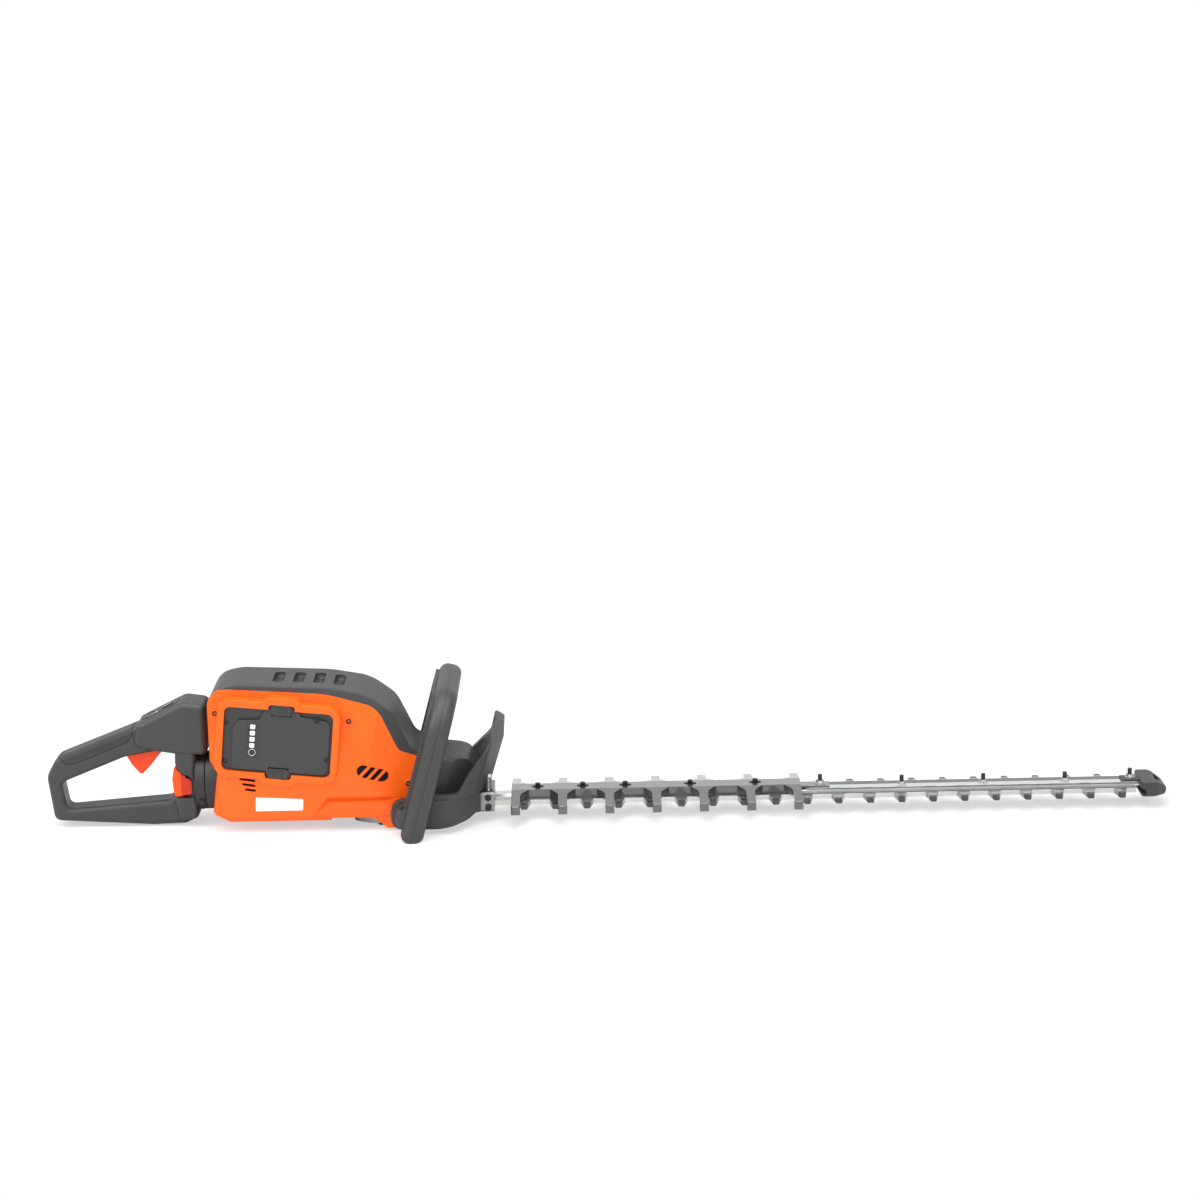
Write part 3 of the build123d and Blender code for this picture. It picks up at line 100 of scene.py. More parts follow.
def mouldedPlastic(name, deep, light, roughness, grainMm, grainDepth, seam=None, zone=None, shine=0.5,
                   coat=0.0):
    material, tree = newMaterial(name)
    where = addNode(tree, "ShaderNodeTexCoord").outputs["Object"]
    flow = addNode(tree, "ShaderNodeTexNoise", {"Scale": perMetre / mouldSet["flowMm"], "Detail": 2.0},
                   {"Vector": where})
    grain = addNode(tree, "ShaderNodeTexNoise", {"Scale": perMetre / grainMm, "Detail": 3.0},
                    {"Vector": where})
    colour = addNode(tree, "ShaderNodeMix", {"data_type": "RGBA", 6: linear(deep), 7: linear(light)},
                     {0: flow.outputs["Fac"]}).outputs[2]
    if seam:
        apart = planeDistance(tree, where, seam["normal"], seam["offset"])
        clear = addNode(tree, "ShaderNodeMapRange", {"From Min": mouldSet["lineMm"] * mm,
                                                     "From Max": mouldSet["lineEndMm"] * mm},
                        {"Value": apart})
        colour = addNode(tree, "ShaderNodeMix", {"data_type": "RGBA", 6: linear(seam["colour"])},
                         {0: clear.outputs[0], 7: colour}).outputs[2]
    if zone:
        inside = insideBox(tree, where, zone["low"], zone["high"])
        colour = addNode(tree, "ShaderNodeMix", {"data_type": "RGBA", 7: linear(zone["colour"])},
                         {0: inside, 6: colour}).outputs[2]
    gloss = addNode(tree, "ShaderNodeMapRange", {**noiseSpan, "To Min": roughness - mouldSet["smoother"],
                                                 "To Max": roughness + mouldSet["rougher"]},
                    {"Value": grain.outputs["Fac"]})
    bump = addNode(tree, "ShaderNodeBump", {"Strength": grainDepth, "Distance": mouldSet["grainHighMm"] * mm},
                   {"Height": grain.outputs["Fac"]})
    shader = addNode(tree, "ShaderNodeBsdfPrincipled", {"IOR": plasticIor, "Specular IOR Level": shine,
                                                        "Coat Weight": coat,
                                                        "Coat Roughness": mouldSet["coatRoughness"]},
                     {"Base Color": colour, "Roughness": gloss.outputs[0], "Normal": bump.outputs[0]})
    addNode(tree, "ShaderNodeOutputMaterial", {}, {"Surface": shader.outputs[0]})
    return material


# nylon bar with cross ribs moulded along its path, up the legs and inwards along the top, painted dark in the
# troughs as shade and light on the crests as highlight; flank is the share of a wave's height in which dark
# turns to light
ribSet = {"ribMm": 3.4, "flank": 0.4, "strength": 0.7, "highMm": 0.5}


def ribbedPlastic(name, deep, light, roughness):
    material, tree = newMaterial(name)
    where = addNode(tree, "ShaderNodeTexCoord").outputs["Object"]
    parts = addNode(tree, "ShaderNodeSeparateXYZ", {}, {0: where})
    side = addNode(tree, "ShaderNodeMath", {"operation": "ABSOLUTE"}, {0: parts.outputs["Y"]})
    path = addNode(tree, "ShaderNodeMath", {"operation": "SUBTRACT"},
                   {0: parts.outputs["Z"], 1: side.outputs[0]})
    perRib = 2 * math.pi / (ribSet["ribMm"] * mm)
    phase = addNode(tree, "ShaderNodeMath", {"operation": "MULTIPLY", 1: perRib}, {0: path.outputs[0]})
    wave = addNode(tree, "ShaderNodeMath", {"operation": "SINE"}, {0: phase.outputs[0]})
    crest = addNode(tree, "ShaderNodeMapRange", {"From Min": -ribSet["flank"], "From Max": ribSet["flank"]},
                    {"Value": wave.outputs[0]})
    # painted shade in the rib troughs and painted highlight on the rib crests
    colour = addNode(tree, "ShaderNodeMix", {"data_type": "RGBA", 6: linear(deep), 7: linear(light)},
                     {0: crest.outputs[0]})
    bump = addNode(tree, "ShaderNodeBump",
                   {"Strength": ribSet["strength"], "Distance": ribSet["highMm"] * mm},
                   {"Height": crest.outputs[0]})
    shader = addNode(tree, "ShaderNodeBsdfPrincipled", {"IOR": plasticIor, "Roughness": roughness},
                     {"Base Color": colour.outputs[2], "Normal": bump.outputs[0]})
    addNode(tree, "ShaderNodeOutputMaterial", {}, {"Surface": shader.outputs[0]})
    return material


# ground, drawn or cast metal: scratches along one axis over a faint cloudiness; real scratches are finer
# than 0.1 mm and are drawn coarser so that they show. Painted shade darkens the metal beyond a distance from
# a plane, with an edge that wanders by wanderMm
metalSet = {"cloudMm": 30, "smoother": 0.08, "rougher": 0.1, "strength": 0.12, "highMm": 0.2, "wanderMm": 4}


def drawnMetal(name, deep, light, roughness, scratchMm, stretch, paintedShade=None):
    material, tree = newMaterial(name)
    where = addNode(tree, "ShaderNodeTexCoord").outputs["Object"]
    scale = [perMetre / scratchMm / longer for longer in stretch]
    squeezed = addNode(tree, "ShaderNodeMapping", {"Scale": scale}, {"Vector": where})
    scratch = addNode(tree, "ShaderNodeTexNoise", {"Scale": 1.0, "Detail": 4.0},
                      {"Vector": squeezed.outputs[0]})
    cloud = addNode(tree, "ShaderNodeTexNoise", {"Scale": perMetre / metalSet["cloudMm"], "Detail": 2.0},
                    {"Vector": where})
    colour = addNode(tree, "ShaderNodeMix", {"data_type": "RGBA", 6: linear(deep), 7: linear(light)},
                     {0: cloud.outputs["Fac"]}).outputs[2]
    # painted shade: the colour turns darker beyond a distance from a plane
    if paintedShade:
        out = planeDistance(tree, where, (0, 1, 0), paintedShade["plane"] * mm)
        shadeEdge = addNode(tree, "ShaderNodeMath", {"operation": "MULTIPLY_ADD", 1: metalSet["wanderMm"] * mm},
                       {0: scratch.outputs["Fac"], 2: out})
        shadeAmount = addNode(tree, "ShaderNodeMapRange",
                       {"From Min": paintedShade["from"] * mm, "From Max": paintedShade["to"] * mm},
                       {"Value": shadeEdge.outputs[0]})
        colour = addNode(tree, "ShaderNodeMix", {"data_type": "RGBA", 7: linear(paintedShade["colour"])},
                         {0: shadeAmount.outputs[0], 6: colour}).outputs[2]
    gloss = addNode(tree, "ShaderNodeMapRange", {**noiseSpan, "To Min": roughness - metalSet["smoother"],
                                                 "To Max": roughness + metalSet["rougher"]},
                    {"Value": scratch.outputs["Fac"]})
    bump = addNode(tree, "ShaderNodeBump",
                   {"Strength": metalSet["strength"], "Distance": metalSet["highMm"] * mm},
                   {"Height": scratch.outputs["Fac"]})
    shader = addNode(tree, "ShaderNodeBsdfPrincipled", {"Metallic": 1.0},
                     {"Base Color": colour, "Roughness": gloss.outputs[0], "Normal": bump.outputs[0]})
    addNode(tree, "ShaderNodeOutputMaterial", {}, {"Surface": shader.outputs[0]})
    return material


# polyester film: even colour under a thin clear layer, with a trace of dust
def polyesterFilm(name, clean, dusty, roughness, dustMm):
    material, tree = newMaterial(name)
    where = addNode(tree, "ShaderNodeTexCoord").outputs["Object"]
    dust = addNode(tree, "ShaderNodeTexNoise", {"Scale": perMetre / dustMm, "Detail": 4.0}, {"Vector": where})
    colour = addNode(tree, "ShaderNodeMix", {"data_type": "RGBA", 6: linear(clean), 7: linear(dusty)},
                     {0: dust.outputs["Fac"]})
    shader = addNode(tree, "ShaderNodeBsdfPrincipled", {"Roughness": roughness, "IOR": plasticIor},
                     {"Base Color": colour.outputs[2]})
    addNode(tree, "ShaderNodeOutputMaterial", {}, {"Surface": shader.outputs[0]})
    return material


# the two loop halves meet in a leaning plane; the two handle halves and the two housings in the middle plane
loopLean = math.radians(15.3)
loopNormal = Vector((math.cos(loopLean), 0, -math.sin(loopLean)))
loopOffset = max(loopNormal.dot(vertex.co) for vertex in nodes["rear_loop_half"].data.vertices)
loopSeam = {"normal": loopNormal, "offset": loopOffset, "colour": "#141414"}
middleSeam = {"normal": (0, 1, 0), "offset": 0, "colour": "#141414"}
orangeSeam = {"normal": (0, 1, 0), "offset": 0, "colour": "#5A1E08"}

# boxes in millimetres: the cap on the housing's rear corner, the shaded neck, the lever's deeper red cheeks
rearCap = {"low": (-480, -43.5, 140), "high": (-425, 43.5, 200), "colour": "#2E2E2F"}
neckShade = {"low": (-491.5, -60, -5), "high": (-465, 60, 84), "colour": "#131314"}
leverCheek = {"low": (-508.5, -40, 30), "high": (-470, 40, 80), "colour": "#C02C0A"}

# millimetres from a plane across the machine: painted shade on the tooth ends and on the rail's far half
toothEndShade = {"plane": 0, "from": 33, "to": 36, "colour": "#4E4E50"}
farHalfShade = {"plane": -60, "from": 62.6, "to": 63.2, "colour": "#5E5F60"}

finishes = {
    # orange nylon: even warm skin with a low sheen, dark along the parting line
    "orangeNylon": mouldedPlastic("orangeNylon", "#EE5A08", "#F6640C", 0.40, 0.9, 0.10, orangeSeam, rearCap,
                                  shine=0.3),
    # red-orange nylon of the controls: deeper than the housing, the same sheen
    "triggerNylon": mouldedPlastic("triggerNylon", "#E03C0C", "#E84610", 0.40, 0.9, 0.08, shine=0.3),
    "leverNylon": mouldedPlastic("leverNylon", "#E8480C", "#F05210", 0.40, 0.9, 0.08, zone=leverCheek,
                                 shine=0.3),
    # glass-filled nylon: charcoal with a satin grain, one mix for each group of mouldings
    "darkNylon": mouldedPlastic("darkNylon", "#2C2C2D", "#323233", 0.50, 0.8, 0.16),
    "loopNylon": mouldedPlastic("loopNylon", "#2C2C2D", "#323233", 0.46, 0.8, 0.14, loopSeam),
    "handleNylon": mouldedPlastic("handleNylon", "#2A2A2B", "#303031", 0.48, 0.8, 0.16, middleSeam,
                                  neckShade),
    "neckNylon": mouldedPlastic("neckNylon", "#141415", "#1A1A1B", 0.45, 0.8, 0.14),
    # ribbed bail: painted shade in the rib troughs, painted highlight on the crests
    "ribbedNylon": ribbedPlastic("ribbedNylon", "#1C1C1C", "#333334", 0.5),
    "batteryNylon": mouldedPlastic("batteryNylon", "#282829", "#2E2E2F", 0.50, 0.8, 0.14),
    "tipNylon": mouldedPlastic("tipNylon", "#2A2A2B", "#303031", 0.46, 0.8, 0.14),
    # thermoplastic rubber: dull, with a coarser grain than the nylon
    "softRubber": mouldedPlastic("softRubber", "#282828", "#2E2E2E", 0.72, 1.4, 0.30),
    # lacquered nylon: grey under a clear gloss
    "guardNylon": mouldedPlastic("guardNylon", "#303032", "#373739", 0.22, 1.2, 0.05, shine=0.8, coat=1.0),
    # polished ABS: near black and mirror smooth
    "glossAbs": mouldedPlastic("glossAbs", "#0E0E0F", "#131314", 0.12, 2.0, 0.02),
    # polycarbonate window: smooth and dark
    "smokedPolycarbonate": mouldedPlastic("smokedPolycarbonate", "#1C1C1D", "#222223", 0.28, 2.0, 0.02),
    # near black and rough, with no gloss: painted shade in the vents, the neck recesses and the guard screw
    # seats
    "recessShade": mouldedPlastic("recessShade", "#0C0C0C", "#141414", 0.80, 1.1, 0.60),
    # epoxy glass laminate: green under a thin varnish
    "boardLaminate": mouldedPlastic("boardLaminate", "#14532A", "#1A6232", 0.35, 1.5, 0.05),
    # white polyester: flat and clean
    "whitePolyester": polyesterFilm("whitePolyester", "#F4F4F2", "#E6E6E3", 0.35, 8),
    # ground steel: pale, scratched along the blade, with painted shade at the tooth ends
    "groundSteel": drawnMetal("groundSteel", "#A6A6A5", "#C8C8C6", 0.28, 0.6, (30, 1, 1), toothEndShade),
    # drawn aluminium and drawn steel: bright streaks along the bar, with painted shade on the rail's far half
    "brightAluminium": drawnMetal("brightAluminium", "#C8C9CA", "#DCDDDE", 0.26, 0.5, (60, 1, 1)),
    "railSteel": drawnMetal("railSteel", "#CFD0D0", "#E4E5E5", 0.22, 0.5, (60, 1, 1), farHalfShade),
    # cast aluminium: matt grey with no direction
    "castAluminium": drawnMetal("castAluminium", "#8E8F90", "#A2A3A4", 0.52, 1.0, (1, 1, 1)),
    # zinc plated, blackened and plain steel: light, near black and mid grey, faintly drawn upwards
    "zincSteel": drawnMetal("zincSteel", "#B4B5B3", "#CCCDCA", 0.28, 0.7, (1, 1, 4)),
    "blackSteel": drawnMetal("blackSteel", "#2C2C2D", "#39393A", 0.38, 0.7, (1, 1, 4)),
    "driveSteel": drawnMetal("driveSteel", "#7C7C7D", "#929293", 0.35, 0.6, (1, 1, 6)),
    # brass: warm yellow, drawn across the machine
    "contactBrass": drawnMetal("contactBrass", "#B98F45", "#CDA65A", 0.30, 0.6, (1, 4, 1)),
}
wears = {
    "orangeNylon": ["right_housing", "left_housing"],
    "triggerNylon": ["trigger"],
    "leverNylon": ["lock_lever"],
    "darkNylon": ["top_cover", "front_housing", "hand_guard", "battery_bay"],
    "neckNylon": ["swivel_sleeve", "swivel_retainer"],
    "loopNylon": ["front_loop_half", "rear_loop_half"],
    "handleNylon": ["right_handle_half", "left_handle_half"],
    "ribbedNylon": ["switch_bail"],
    "batteryNylon": ["battery_case", "battery_cover", "upper_battery_latch", "lower_battery_latch",
                     "cooling_fan", "trigger_switch", "keypad_panel"],
    "softRubber": ["soft_grip", "power_button", "charge_button"],
    "glossAbs": ["mode_button"],
    "smokedPolycarbonate": ["charge_indicator"],
    "guardNylon": ["blade_guard"],
    "tipNylon": ["tip_guard"],
    "groundSteel": ["upper_knife", "lower_knife"],
    "brightAluminium": ["guide_bar"],
    "castAluminium": ["gear_case", "gear_case_cover"],
    "zincSteel": ["blade_nuts", "trigger_pin", "trigger_spring", "lever_pin"],
    "blackSteel": ["blade_studs", "guard_screws", "gear_case_bolts"],
    "driveSteel": ["blade_clamp", "drive_gear", "lower_eccentric", "upper_eccentric", "crank_shaft",
                   "crank_bearings", "motor_bearings", "motor_shaft", "motor_pinion", "rotor_core",
                   "motor_stator", "motor_can", "battery_cells"],
    "boardLaminate": ["control_board"],
    "contactBrass": ["battery_terminals"],
}
for finish, names in wears.items():
    for name in names:
        mesh = nodes[name].data
        mesh.materials.clear()
        mesh.materials.append(finishes[finish])
print("finishes set")


# a new piece starts from a primitive with nothing else selected
def startPiece(name, addShape, stretch=(1, 1, 1), **how):
    bpy.ops.object.select_all(action="DESELECT")
    addShape(**how)
    piece = bpy.context.object
    piece.name = name
    piece.data.name = name
    piece.scale = stretch
    bpy.ops.object.transform_apply(location=True, rotation=True, scale=True)
    return piece


# clears what is picked in the active piece and sets what can be picked next
def dropPicks(kind):
    bpy.ops.object.mode_set(mode="EDIT")
    bpy.ops.mesh.select_mode(type=kind)
    bpy.ops.mesh.select_all(action="DESELECT")
    bpy.ops.object.mode_set(mode="OBJECT")


# edit mode with the faces that a rule picks by their normal
def pickFaces(piece, rule):
    dropPicks("FACE")
    for face in piece.data.polygons:
        face.select = rule(face.normal)
    bpy.ops.object.mode_set(mode="EDIT")


# edit mode with the edges that a rule picks by their two ends
def pickEdges(piece, rule):
    dropPicks("EDGE")
    points = piece.data.vertices
    for edge in piece.data.edges:
        edge.select = rule(points[edge.vertices[0]].co, points[edge.vertices[1]].co)
    bpy.ops.object.mode_set(mode="EDIT")


# edit mode with the points that a rule picks by their place
def pickPoints(piece, rule):
    dropPicks("VERT")
    for point in piece.data.vertices:
        point.select = rule(point.co)
    bpy.ops.object.mode_set(mode="EDIT")


level = 0.97  # a face counts as level where this much of its normal points up or down


def facesUp(normal):
    return normal.z > level


def facesDown(normal):
    return normal.z < -level


def standsUp(first, second):
    return abs(first.z - second.z) > max(abs(first.x - second.x), abs(first.y - second.y))


def liesOnTop(piece):
    top = max(vertex.co.z for vertex in piece.data.vertices)
    return lambda first, second: min(first.z, second.z) > top - hair


# insets the faces that a rule picks, once for each pair of millimetres inwards and outwards
def insetFaces(piece, rule, steps):
    pickFaces(piece, rule)
    for inward, outward in steps:
        bpy.ops.mesh.inset(thickness=inward * mm, depth=outward * mm)
    bpy.ops.object.mode_set(mode="OBJECT")


def applyModifier(piece, kind, settings):
    modifier = piece.modifiers.new(kind.lower(), kind)
    for key, value in settings.items():
        setattr(modifier, key, value)
    bpy.context.view_layer.objects.active = piece
    bpy.ops.object.modifier_apply(modifier=modifier.name)


# winds a small outline up round the z axis, then turns its faces outwards
def windUp(piece, pitch, turns, steps):
    applyModifier(piece, "SCREW", {"angle": 2 * math.pi, "screw_offset": pitch * mm, "iterations": turns,
                                   "steps": steps, "render_steps": steps, "use_merge_vertices": True})
    bpy.ops.object.mode_set(mode="EDIT")
    bpy.ops.mesh.select_all(action="SELECT")
    bpy.ops.mesh.normals_make_consistent(inside=False)
    bpy.ops.object.mode_set(mode="OBJECT")


# a flat plate with rounded corners and softened upper edges, standing on z = 0 and facing +z
def plate(name, size, corner, soft):
    lengths = [value * mm for value in size]
    piece = startPiece(name, bpy.ops.mesh.primitive_cube_add, size=1, location=(0, 0, lengths[2] / 2),
                       stretch=lengths)
    pickEdges(piece, standsUp)
    bpy.ops.mesh.bevel(offset=corner * mm, segments=5)
    bpy.ops.object.mode_set(mode="OBJECT")
    pickEdges(piece, liesOnTop(piece))
    bpy.ops.mesh.bevel(offset=soft * mm, segments=2)
    bpy.ops.object.mode_set(mode="OBJECT")
    return piece


# a round screw head on z = 0 with a domed edge and a round socket
def socketHead(name, spec):
    piece = startPiece(name, bpy.ops.mesh.primitive_cylinder_add, vertices=36, radius=spec["head"] * mm,
                       depth=spec["height"] * mm, location=(0, 0, spec["height"] * mm / 2))
    land = spec["head"] - spec["dome"][0] - spec["socket"]
    insetFaces(piece, facesUp, (spec["dome"], (land, 0), (spec["taper"], -spec["socketDeep"])))
    return piece


# a ring of round wire about the z axis
def wireRing(name, radius, wire, **how):
    return startPiece(name, bpy.ops.mesh.primitive_torus_add, major_radius=radius * mm,
                      minor_radius=wire * mm, major_segments=48, minor_segments=12, **how)


# a copy with its own mesh, put in its place
def placeCopy(master, name, spot):
    piece = master.copy()
    piece.data = master.data.copy()
    piece.name = name
    piece.data.name = name
    piece.data.transform(spot)
    bpy.context.scene.collection.objects.link(piece)
    return piece


# smooth shading, finish, body and material slot of a finished piece
def settle(piece, finish, body, angle=35):
    bpy.ops.object.select_all(action="DESELECT")
    piece.select_set(True)
    bpy.context.view_layer.objects.active = piece
    bpy.ops.object.shade_smooth_by_angle(angle=math.radians(angle))
    piece.data.materials.clear()
    piece.data.materials.append(finishes[finish])
    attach(piece, body)


# turns a piece that faces +z to face along a normal, with its own y as near upwards as can be
def facing(place, normal, lift=0.0):
    normal = Vector(normal).normalized()
    turn = normal.to_track_quat("Z", "Y").to_matrix().to_4x4()
    return Matrix.Translation(Vector(place) + lift * mm * normal) @ turn


# where a straight line meets a CAD node's surface, and which way that surface faces
surfaceTrees = {}
lineStart = {"side": 0.3, "above": 0.5}  # metres, well outside the machine


def surfaceOf(node, start, aim):
    if node not in surfaceTrees:
        mesh = nodes[node].data
        surfaceTrees[node] = BVHTree.FromPolygons([vertex.co.copy() for vertex in mesh.vertices],
                                                  [list(face.vertices) for face in mesh.polygons])
    place, normal = surfaceTrees[node].ray_cast(Vector(start), Vector(aim))[:2]
    if place is None:
        raise ValueError(f"no surface of {node} at {start}")
    return place, normal if normal.dot(Vector(aim)) < 0 else -normal


def fromRight(node, xMm, zMm):
    return surfaceOf(node, (xMm * mm, -lineStart["side"], zMm * mm), (0, 1, 0))


def fromLeft(node, xMm, zMm):
    return surfaceOf(node, (xMm * mm, lineStart["side"], zMm * mm), (0, -1, 0))


def fromAbove(node, xMm, yMm):
    return surfaceOf(node, (xMm * mm, yMm * mm, lineStart["above"]), (0, 0, -1))


housingSides = (("Right", fromRight, "right_housing"), ("Left", fromLeft, "left_housing"))
handleSides = (("Right", fromRight, "right_handle_half"), ("Left", fromLeft, "left_handle_half"))
clampSides = (("Right", fromRight, "blade_clamp"), ("Left", fromLeft, "blade_clamp"))

# screws: a pan head with a round socket, and round each one in the housing a raised collar
screwSet = {
    "head": 3.0, "height": 1.5, "dome": (0.5, 0.35), "socket": 1.5, "taper": 0.1, "socketDeep": 1.1,
    "housing": [(-460.0, 148.5), (-461.5, 83), (-303, 136), (-236, 57)], "housingSunk": 0.9,
    "battery": [(-446.5, 140), (-449.6, 93), (-339.5, 140), (-330.5, 92)], "batterySunk": 0.8,
}
collarSet = {"radius": 4.9, "height": 1.3, "middle": 0.2, "steps": ((0.3, 0.25), (0.9, 0), (0.15, -0.9))}
headMaster = socketHead("headMaster", screwSet)
collarMaster = startPiece("collarMaster", bpy.ops.mesh.primitive_cylinder_add, vertices=40,
                          radius=collarSet["radius"] * mm, depth=collarSet["height"] * mm,
                          location=(0, 0, collarSet["middle"] * mm))
insetFaces(collarMaster, facesUp, collarSet["steps"])
for index, (x, z) in enumerate(screwSet["housing"]):
    for side, find, node in housingSides:
        place, normal = find(node, x, z)
        collar = placeCopy(collarMaster, f"screwCollar{side}{index}", facing(place, normal))
        settle(collar, "orangeNylon", "machine")
        screw = placeCopy(headMaster, f"housingScrew{side}{index}",
                          facing(place, normal, -screwSet["housingSunk"]))
        settle(screw, "blackSteel", "machine")
for index, (x, z) in enumerate(screwSet["battery"]):
    place, normal = fromRight("battery_cover", x, z)
    screw = placeCopy(headMaster, f"batteryScrew{index}", facing(place, normal, -screwSet["batterySunk"]))
    settle(screw, "blackSteel", "battery")
bpy.data.objects.remove(headMaster)
bpy.data.objects.remove(collarMaster)
print("screws placed")

# bare white plate on the right side; its upper right corner is drawn down and out, its lower left corner out
labelSet = {"centre": (-388.5, 37.5), "size": (55, 18.5, 0.5), "corner": 1.6, "soft": 0.15, "drop": 3.6,
            "out": 1.0}
label = plate("labelPlate", labelSet["size"], labelSet["corner"], labelSet["soft"])
for end, drop in ((1, labelSet["drop"]), (-1, 0)):
    pickPoints(label, lambda point: point.x * end > 0 and point.y * end > 0)
    bpy.ops.transform.translate(value=(labelSet["out"] * mm * end, -drop * mm, 0))
    bpy.ops.object.mode_set(mode="OBJECT")
place, normal = fromRight("right_housing", *labelSet["centre"])
label.data.transform(facing(place, normal))
settle(label, "whitePolyester", "machine")

# battery face: charge bars, button ring and latch pads, in the battery's own tilted frame
batterySet = {"centre": (-387.0, 115.0), "tilt": 5.9, "face": -60.0}


# a piece that faces +z put on the battery's outer face, with x along the battery and y up it
def onBattery(along, up, lift=0.0):
    lean = math.radians(batterySet["tilt"])
    middle = Vector((batterySet["centre"][0], batterySet["face"] - lift, batterySet["centre"][1]))
    xAxis = Vector((math.cos(lean), 0, -math.sin(lean)))
    yAxis = Vector((math.sin(lean), 0, math.cos(lean)))
    turn = Matrix((xAxis, yAxis, Vector((0, -1, 0)))).transposed().to_4x4()
    return Matrix.Translation((middle + along * xAxis + up * yAxis) * mm) @ turn


barSet = {"size": (5.8, 5.4, 0.5), "corner": 0.9, "soft": 0.12, "along": -29.6, "first": -6.5, "step": 7.6,
          "count": 4, "sunk": 0.1}
barMaster = plate("barMaster", barSet["size"], barSet["corner"], barSet["soft"])
for index in range(barSet["count"]):
    spot = onBattery(barSet["along"], barSet["first"] + barSet["step"] * index, -barSet["sunk"])
    settle(placeCopy(barMaster, f"chargeBar{index}", spot), "whitePolyester", "battery")
bpy.data.objects.remove(barMaster)

ringSet = {"along": -29.0, "up": -15.0, "radius": 3.9, "wire": 0.28}
ring = wireRing("chargeRing", ringSet["radius"], ringSet["wire"])
ring.data.transform(onBattery(ringSet["along"], ringSet["up"]))
settle(ring, "whitePolyester", "battery")

# sliding thumb pad over each latch pocket: a dished plate with grip lines and a stem into the latch behind it
padSet = {"along": 3.0, "low": 32.6, "high": 44.3, "width": 23.6, "thick": 1.2, "corner": 2.4, "soft": 0.45,
          "clear": 0.45, "stem": ((2.2, 0), (0.1, 2.0)), "dish": ((1.4, 0), (0.4, -0.3))}
gripSet = {"size": (13, 0.9, 0.5), "corner": 0.4, "soft": 0.15, "sunk": 0.35, "lines": (-2.6, 0.0, 2.6)}
padSize = (padSet["width"], padSet["high"] - padSet["low"], padSet["thick"])
for side, which in ((1, "upper"), (-1, "lower")):
    pad = plate(f"{which}LatchPad", padSize, padSet["corner"], padSet["soft"])
    insetFaces(pad, facesDown, padSet["stem"])
    insetFaces(pad, facesUp, padSet["dish"])
    grips = []
    for line in gripSet["lines"]:
        grip = plate("gripLine", gripSet["size"], gripSet["corner"], gripSet["soft"])
        grip.data.transform(Matrix.Translation((0, line * mm, (padSet["thick"] - gripSet["sunk"]) * mm)))
        grips.append(grip)
    bpy.ops.object.select_all(action="DESELECT")
    for piece in grips + [pad]:
        piece.select_set(True)
    bpy.context.view_layer.objects.active = pad
    bpy.ops.object.join()
    middle = side * (padSet["low"] + padSet["high"]) / 2
    pad.data.transform(onBattery(padSet["along"], middle, padSet["clear"]))
    settle(pad, "batteryNylon", f"{which}_battery_latch")
print("battery face dressed")

# keypad: bezel ring round the power button and a small white lamp lens beside it
keySet = {"centre": (-530.5, 141.5), "slope": 26.0, "proud": 0.6, "ringAt": -13.0, "ring": 6.1, "wire": 0.55}
lensSet = {"at": (-4.6, -7.5), "size": (3.4, 1.5, 0.5), "corner": 0.6, "soft": 0.2, "sunk": 0.1}
keyPlace = Matrix.Translation((keySet["centre"][0] * mm, 0, keySet["centre"][1] * mm))
keyFrame = keyPlace @ Matrix.Rotation(-math.radians(keySet["slope"]), 4, "Y")
bezel = wireRing("powerBezel", keySet["ring"], keySet["wire"],
                 location=(keySet["ringAt"] * mm, 0, keySet["proud"] * mm))
bezel.data.transform(keyFrame)
settle(bezel, "driveSteel", "rear_handle")
lens = plate("lampLens", lensSet["size"], lensSet["corner"], lensSet["soft"])
lensPlace = Vector((*lensSet["at"], keySet["proud"] - lensSet["sunk"])) * mm
lens.data.transform(keyFrame @ Matrix.Translation(lensPlace))
settle(lens, "whitePolyester", "rear_handle")

# oval rim with a sunk floor on each side of the handle's neck, near black as painted shade in the hollow
neckSet = {"at": (-484.0, 30.0), "half": (5.2, 10.5), "thick": 2.4, "sunk": 1.0,
           "steps": ((0.35, 0.3), (1.1, 0), (0.3, -0.9), (1.2, -0.4))}
neckMaster = startPiece("neckMaster", bpy.ops.mesh.primitive_cylinder_add, vertices=48, radius=1.0,
                        depth=neckSet["thick"] * mm,
                        stretch=(neckSet["half"][0] * mm, neckSet["half"][1] * mm, 1.0))
insetFaces(neckMaster, facesUp, neckSet["steps"])
for side, find, node in handleSides:
    place, normal = find(node, *neckSet["at"])
    recess = placeCopy(neckMaster, f"neckRecess{side}", facing(place, normal, -neckSet["sunk"]))
    settle(recess, "recessShade", "rear_handle")
bpy.data.objects.remove(neckMaster)
print("handle dressed")

# scoop floors: a stepped cup closes each scoop of the top cover, lying along the cover's slope there
scoopSet = {"first": -388.0, "step": 24.0, "count": 4, "size": (12.8, 45.8), "corner": 6.3, "sunk": 0.9,
            "walls": ((0.4, -2.6), (1.2, -2.2), (2.0, -1.2)), "thick": 0.8, "beside": 9}
cupMaster = startPiece("cupMaster", bpy.ops.mesh.primitive_plane_add, size=1,
                       stretch=(scoopSet["size"][0] * mm, scoopSet["size"][1] * mm, 1))
bpy.ops.object.mode_set(mode="EDIT")
bpy.ops.mesh.select_all(action="SELECT")
bpy.ops.mesh.bevel(offset=scoopSet["corner"] * mm, segments=10, affect="VERTICES")
bpy.ops.object.mode_set(mode="OBJECT")
insetFaces(cupMaster, facesUp, scoopSet["walls"])
applyModifier(cupMaster, "SOLIDIFY", {"thickness": scoopSet["thick"] * mm, "offset": -1.0})
